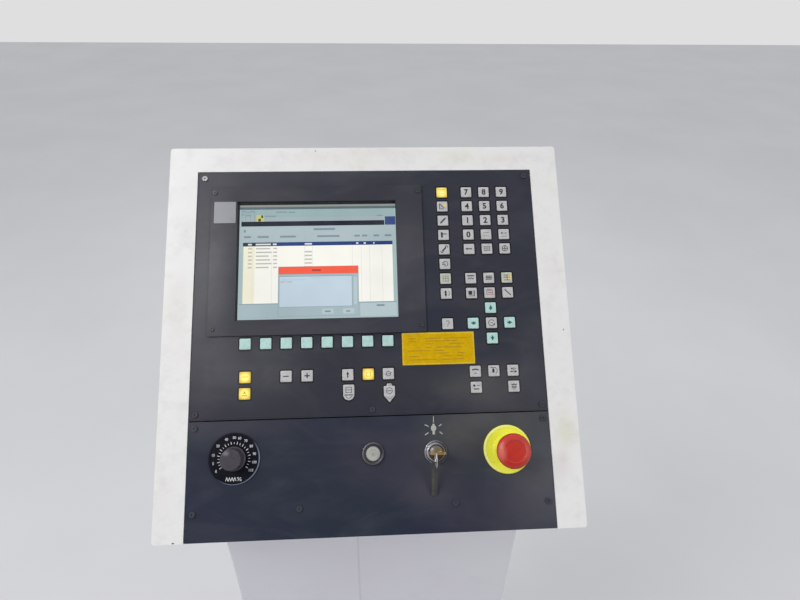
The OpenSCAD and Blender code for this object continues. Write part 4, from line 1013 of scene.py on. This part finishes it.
for u, v, colour, pic in KEYS:
    if pic:
        picture(u, v, pic)
su_, sv_ = START
pics.ribbon([(su_ + x, sv_ + y) for x, y in rect(-3.6, 0.6, 3.6, 7.4)], 0.7, *Z, "ink_mid", closed=True)
pics.ribbon([(su_ - 3.4, sv_ + 4.0), (su_ + 3.4, sv_ + 4.0)], 0.6, *Z, "ink_mid")
pics.ribbon([(su_ - 5.4, sv_ - 2.4), (su_ + 5.4, sv_ - 2.4)], 1.1, *Z, "ink_dark")
pics.arc(su_, sv_ - 2.6, 3.8, 200, 340, 0.7, *Z, "ink_mid", 12)
tu, tv = STOP
pics.annulus(tu, tv + 2.0, 3.8, 0.7, *Z, "ink_mid")
pics.ribbon([(tu - 2.6, tv + 2.0), (tu + 2.6, tv + 2.0)], 0.8, *Z, "ink_mid")
pics.ribbon([(tu - 5, tv - 4.4), (tu, tv - 8.6), (tu + 5, tv - 4.4)], 0.6, *Z, "ink_faint")
pics.ribbon([(tu - 2, tv + 9.2), (tu + 2, tv + 9.2)], 0.7, *Z, "ink_mid")
pics.done("console", "foil", angle=60, weld=1e-7)

# ------------------------------------------------------------------ golden label: ruled film, nothing written on it
lab = Piece("label_lines", ["label_line", "label_edge"])
n0, n1 = -0.21, -0.17
lab.ribbon(rect(307.8, 207.2, 400.0, 246.8), 1.5, n0, n1, "label_edge", closed=True)
for v, spans in ((240.2, ((316, 326), (338, 359), (361, 392))), (236.6, ((316, 326), (338, 380))), (233.0, ((338, 349), (369, 389))),
                 (228.6, ((338, 346), (352, 384))), (224.2, ((315, 344), (350, 362))), (220.8, ((348, 368), (380, 389))),
                 (217.0, ((316, 330), (362, 372), (378, 386))), (212.6, ((316, 352), (358, 388)))):
    for a, b in spans:
        lab.ribbon([(a - 0.8, v), (b - 0.8, v)], 0.75, n0, n1 - 0.005, "label_line")
lab.done("console", "yellow_label")

# ------------------------------------------------------------------ lit picture on the display
UI = {
    "edge": (168, 188, 190), "strip": (142, 146, 144), "title": (88, 106, 110), "head": (150, 174, 178), "headlow": (160, 174, 180),
    "navy": (22, 24, 42), "deep": (20, 34, 40), "blue": (44, 68, 128), "pale": (170, 187, 193), "word": (126, 142, 150),
    "row": (26, 56, 120), "rowleft": (22, 50, 68), "light": (216, 224, 232), "list": (247, 247, 240), "cream": (242, 237, 214),
    "grey": (190, 188, 180), "rule": (214, 218, 212), "red": (244, 92, 66), "maroon": (170, 62, 50), "box": (192, 210, 224), "sky": (178, 204, 226),
    "frame": (128, 148, 158), "bar": (160, 184, 194), "foot": (163, 184, 191), "yellow": (196, 196, 110), "dark": (52, 56, 50), "button": (181, 199, 205),
}
R = [(0, 0, 1, 1, "edge"), (0, 0, 1, 0.018, "strip"), (0, 0.018, 1, 0.040, "title"), (0.006, 0.040, 0.995, 0.112, "head"), (0.006, 0.112, 0.926, 0.148, "headlow"),
     (0.011, 0.148, 0.926, 0.191, "navy"), (0.011, 0.148, 0.086, 0.191, "deep"), (0.930, 0.114, 0.998, 0.190, "blue"),
     (0.004, 0.196, 0.994, 0.334, "pale"), (0.470, 0.213, 0.608, 0.231, "word"), (0.106, 0.089, 0.153, 0.148, "yellow"), (0.118, 0.122, 0.134, 0.146, "dark"),
     (0.136, 0.092, 0.148, 0.116, "dark"), (0.026, 0.222, 0.040, 0.244, "word"), (0.976, 0.334, 0.998, 0.92, "edge"),
     (0.024, 0.335, 0.208, 0.368, "rowleft"), (0.208, 0.335, 0.976, 0.368, "row"), (0.028, 0.368, 0.974, 0.864, "list"), (0.028, 0.368, 0.100, 0.864, "cream"),
     (0.006, 0.868, 0.994, 0.994, "foot"), (0.006, 0.866, 0.994, 0.871, "frame"), (0.762, 0.876, 0.990, 0.988, "button"), (0.865, 0.890, 0.915, 0.905, "word")]
for a, b in ((0.030, 0.073), (0.115, 0.186), (0.257, 0.357), (0.493, 0.636), (0.731, 0.767), (0.781, 0.814), (0.854, 0.890), (0.927, 0.970)):
    R.append((a, 0.277, b, 0.294, "word"))
for x in (0.086, 0.206, 0.412, 0.462, 0.716, 0.772, 0.826, 0.905):
    R.append((x, 0.262, x + 0.0025, 0.330, "bar"))
    R.append((x, 0.370, x + 0.002, 0.862, "rule"))
for a, b in ((0.056, 0.080), (0.104, 0.200), (0.212, 0.236), (0.414, 0.460), (0.742, 0.756), (0.790, 0.804), (0.852, 0.860)):
    R.append((a, 0.345, b, 0.359, "light"))
for i, y in enumerate((0.383, 0.416, 0.449, 0.482, 0.515, 0.548)):
    for a, b in ((0.057, 0.081), (0.106, 0.196 + 0.01 * math.sin(i * 2.1)), (0.215, 0.240), (0.414, 0.460)):
        if i == 0 and a > 0.3:
            continue
        R.append((a, y, b, y + 0.012, "grey"))
R += [(0.248, 0.550, 0.754, 0.978, "frame"), (0.250, 0.552, 0.752, 0.615, "red"), (0.460, 0.577, 0.516, 0.593, "maroon"), (0.250, 0.618, 0.752, 0.976, "foot"),
      (0.254, 0.634, 0.714, 0.900, "frame"), (0.2565, 0.638, 0.711, 0.897, "box"), (0.272, 0.656, 0.420, 0.672, "sky"), (0.450, 0.644, 0.520, 0.656, "sky"),
      (0.262, 0.676, 0.290, 0.690, "grey"), (0.300, 0.676, 0.336, 0.690, "grey"), (0.719, 0.634, 0.747, 0.900, "bar"), (0.723, 0.650, 0.743, 0.884, "button"),
      (0.524, 0.918, 0.594, 0.962, "button"), (0.540, 0.934, 0.576, 0.948, "word"), (0.654, 0.918, 0.724, 0.962, "button"), (0.673, 0.936, 0.698, 0.948, "word")]
for a, b, y in ((0.012, 0.034, 0.052), (0.044, 0.062, 0.060), (0.070, 0.090, 0.054), (0.012, 0.026, 0.080), (0.040, 0.068, 0.088), (0.230, 0.300, 0.060), (0.310, 0.352, 0.062), (0.158, 0.230, 0.096), (0.880, 0.915, 0.100)):
    R.append((a, y, b, y + 0.010, "word"))
for x in (0.036, 0.066, 0.092):
    R.append((x, 0.046, x + 0.003, 0.140, "frame"))
for k, c in UI.items():
    M["ui_" + k] = screen_mat("screen_" + k, c)
pic = Piece("screen_picture", ["ui_" + k for k in UI])
xs = sorted({round(x, 5) for r in R for x in (r[0], r[2])})
ys = sorted({round(y, 5) for r in R for y in (r[1], r[3])})
SU, SV, SW, SH = 198.1 - 105.4, 350 + 78.9, 210.8, 157.8
grid = [[pic.pt(SU + x * SW, SV - y * SH, -8.93) for x in xs] for y in ys]
for j in range(len(ys) - 1):
    for i in range(len(xs) - 1):
        cx, cy = (xs[i] + xs[i + 1]) / 2, (ys[j] + ys[j + 1]) / 2
        key = [r[4] for r in R if r[0] <= cx <= r[2] and r[1] <= cy <= r[3]][-1]
        pic.face([grid[j][i], grid[j + 1][i], grid[j + 1][i + 1], grid[j][i + 1]], "ui_" + key)
rim = grid[0] + [row[-1] for row in grid[1:]] + grid[-1][-2::-1] + [row[0] for row in grid[-2:0:-1]]
inv = Matrix(((1, 0, 0), (0, C, C), (0, -C, C)))
low = []
for vert in rim:
    low.append(pic.bm.verts.new(vert.co + Vector((0, 0.06 * C, -0.06 * C)) / 1000))
pic.bridge(rim, low, "ui_edge")
pic.cap(low, "ui_edge", True)
pic.done("console", "display", angle=60, weld=1e-8)

# ------------------------------------------------------------------ dial print, key switch pictogram, mushroom arrows
dp = Piece("dial_scale", ["ink_white", "dial_white"])
du, dv = DIAL
for s, a in zip((0, 5, 10, 20, 40, 50, 60, 70, 80, 90, 100, 110), (213.75, 191.25, 168.75, 141, 112.5, 90, 75, 56.25, 35, 12, -10.5, -33.75)):
    a = math.radians(a)
    dp.text(str(s), du + 25.4 * math.cos(a), dv + 25.4 * math.sin(a), 3.4, 1.97, 2.03, "dial_white", squeeze=0.9, bold=0.03)
for k in range(23):
    a = math.radians(90 - (-123.75 + 11.25 * k))
    r1 = 20.6 if k % 2 == 0 else 19.8
    dp.ribbon([(du + 17.4 * math.cos(a), dv + 17.4 * math.sin(a)), (du + r1 * math.cos(a), dv + r1 * math.sin(a))], 0.75 if k % 2 == 0 else 0.55, 1.97, 2.03, "ink_white")
zig = [(-9.5 + 1.6 * i, -24.2 + (1.9 if i % 2 else -1.9)) for i in range(9)]
dp.ribbon([(du + x, dv + y) for x, y in zig], 0.75, 1.97, 2.03, "ink_white")
dp.ribbon([(du + 5.2, dv - 26), (du + 9.2, dv - 22.2)], 0.6, 1.97, 2.03, "ink_white")
dp.annulus(du + 5.6, dv - 22.9, 0.95, 0.5, 1.97, 2.03, "ink_white", 16)
dp.annulus(du + 8.8, dv - 25.4, 0.95, 0.5, 1.97, 2.03, "ink_white", 16)
dp.done("console", "black_plastic", angle=60, weld=1e-8)

kp = Piece("lamp_picture", ["ink_pale"])
z0, z1 = -1.01, -0.965
body = [(342.9, 131.2), (342.7, 129.4), (341.3, 128.2), (340.8, 125.8), (341.4, 123.6), (342.7, 122.4), (342.7, 118.2), (345.8, 118.2), (345.8, 122.4),
        (347.1, 123.6), (347.7, 125.8), (347.2, 128.2), (345.8, 129.4), (345.6, 131.2)]
kp.prism([(x - 0.8, y) for x, y in body], z0, z1, "ink_pale")
kp.ribbon([(343.5, 132.6), (343.8, 140.8)], 0.9, z0, z1, "ink_pale")
for a, b in (((338.0, 128.2), (333.0, 130.6)), ((351.2, 128.2), (354.6, 130.6)), ((337.6, 120.6), (333.0, 117.8)), ((351.6, 121.2), (355.4, 118.4))):
    kp.ribbon([(a[0] - 0.8, a[1]), (b[0] - 0.8, b[1])], 1.2, z0, z1, "ink_pale")
kp.done("console", "dark_panel", angle=60, weld=1e-8)

# ------------------------------------------------------------------ floor and light
bm = bmesh.new()
for x, y in ((-9, -9), (9, -9), (9, 9), (-9, 9)):
    bm.verts.new((x, y, -0.0005))
bm.verts.ensure_lookup_table()
bm.faces.new(list(bm.verts))
me = bpy.data.meshes.new("floor")
bm.to_mesh(me)
bm.free()
floor = bpy.data.objects.new("floor", me)
COL.objects.link(floor)
fm = Mat("floor_plain")
fm.set(Base_Color=fm.mix(fm.span(fm.noise(1.3, 3), 0.35, 0.65), (0.62, 0.615, 0.625, 1), (0.65, 0.645, 0.655, 1)), Roughness=0.75)
me.materials.append(fm.m)
floor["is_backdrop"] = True

world = bpy.data.worlds.new("studio")
bpy.context.scene.world = world
world.use_nodes = True
wt = world.node_tree
bg = wt.nodes["Background"]
tc = wt.nodes.new("ShaderNodeTexCoord")


def sky(vec, lo, hi, a, b):
    """Grey level that goes from a to b as a direction turns towards vec."""
    d = wt.nodes.new("ShaderNodeVectorMath")
    d.operation = "DOT_PRODUCT"
    wt.links.new(tc.outputs["Generated"], d.inputs[0])
    d.inputs[1].default_value = Vector(vec).normalized()
    r = wt.nodes.new("ShaderNodeMapRange")
    r.interpolation_type = "SMOOTHSTEP"
    wt.links.new(d.outputs["Value"], r.inputs["Value"])
    for k, x in zip(("From Min", "From Max", "To Min", "To Max"), (lo, hi, a, b)):
        r.inputs[k].default_value = x
    return r.outputs["Result"]


def times(a, b):
    m = wt.nodes.new("ShaderNodeMath")
    m.operation = "MULTIPLY"
    wt.links.new(a, m.inputs[0])
    wt.links.new(b, m.inputs[1])
    return m.outputs[0]


mx = wt.nodes.new("ShaderNodeMix")
mx.data_type = "RGBA"
mx.inputs[6].default_value = (0.98, 0.97, 0.98, 1)
mx.inputs[7].default_value = (0.93, 0.96, 1.0, 1)
wt.links.new(sky((0, 0, 1), -0.1, 0.9, 0, 1), mx.inputs[0])
wt.links.new(mx.outputs[2], bg.inputs["Color"])
# bright overhead, darker behind the viewer
wt.links.new(times(sky((0, 0, 1), 0.0, 1.0, 0.76, 1.02), sky((-0.05, -0.80, 0.57), 0.50, 0.95, 1.0, 0.22)), bg.inputs["Strength"])


def area(name, at, aim, size, power, rgb=(1, 1, 1)):
    d = bpy.data.lights.new(name, "AREA")
    d.shape = "RECTANGLE"
    d.size, d.size_y = size
    d.energy = power
    d.color = rgb
    o = bpy.data.objects.new(name, d)
    COL.objects.link(o)
    o.location = at
    o.rotation_mode = "QUATERNION"
    o.rotation_quaternion = (Vector(aim) - Vector(at)).to_track_quat("-Z", "Y")
    return o


area("key_light", (-1.75, -0.85, 3.3), (0, 0, 1.1), (1.6, 1.3), 40, (1.0, 0.995, 0.985))
area("fill_light", (2.4, -1.9, 2.4), (0, 0, 0.9), (1.8, 1.8), 19, (1.0, 0.985, 0.955))
area("back_light", (0.4, 2.6, 2.8), (0, 0, 1.0), (2.4, 1.2), 10, (0.96, 0.98, 1.0))

lo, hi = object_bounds()
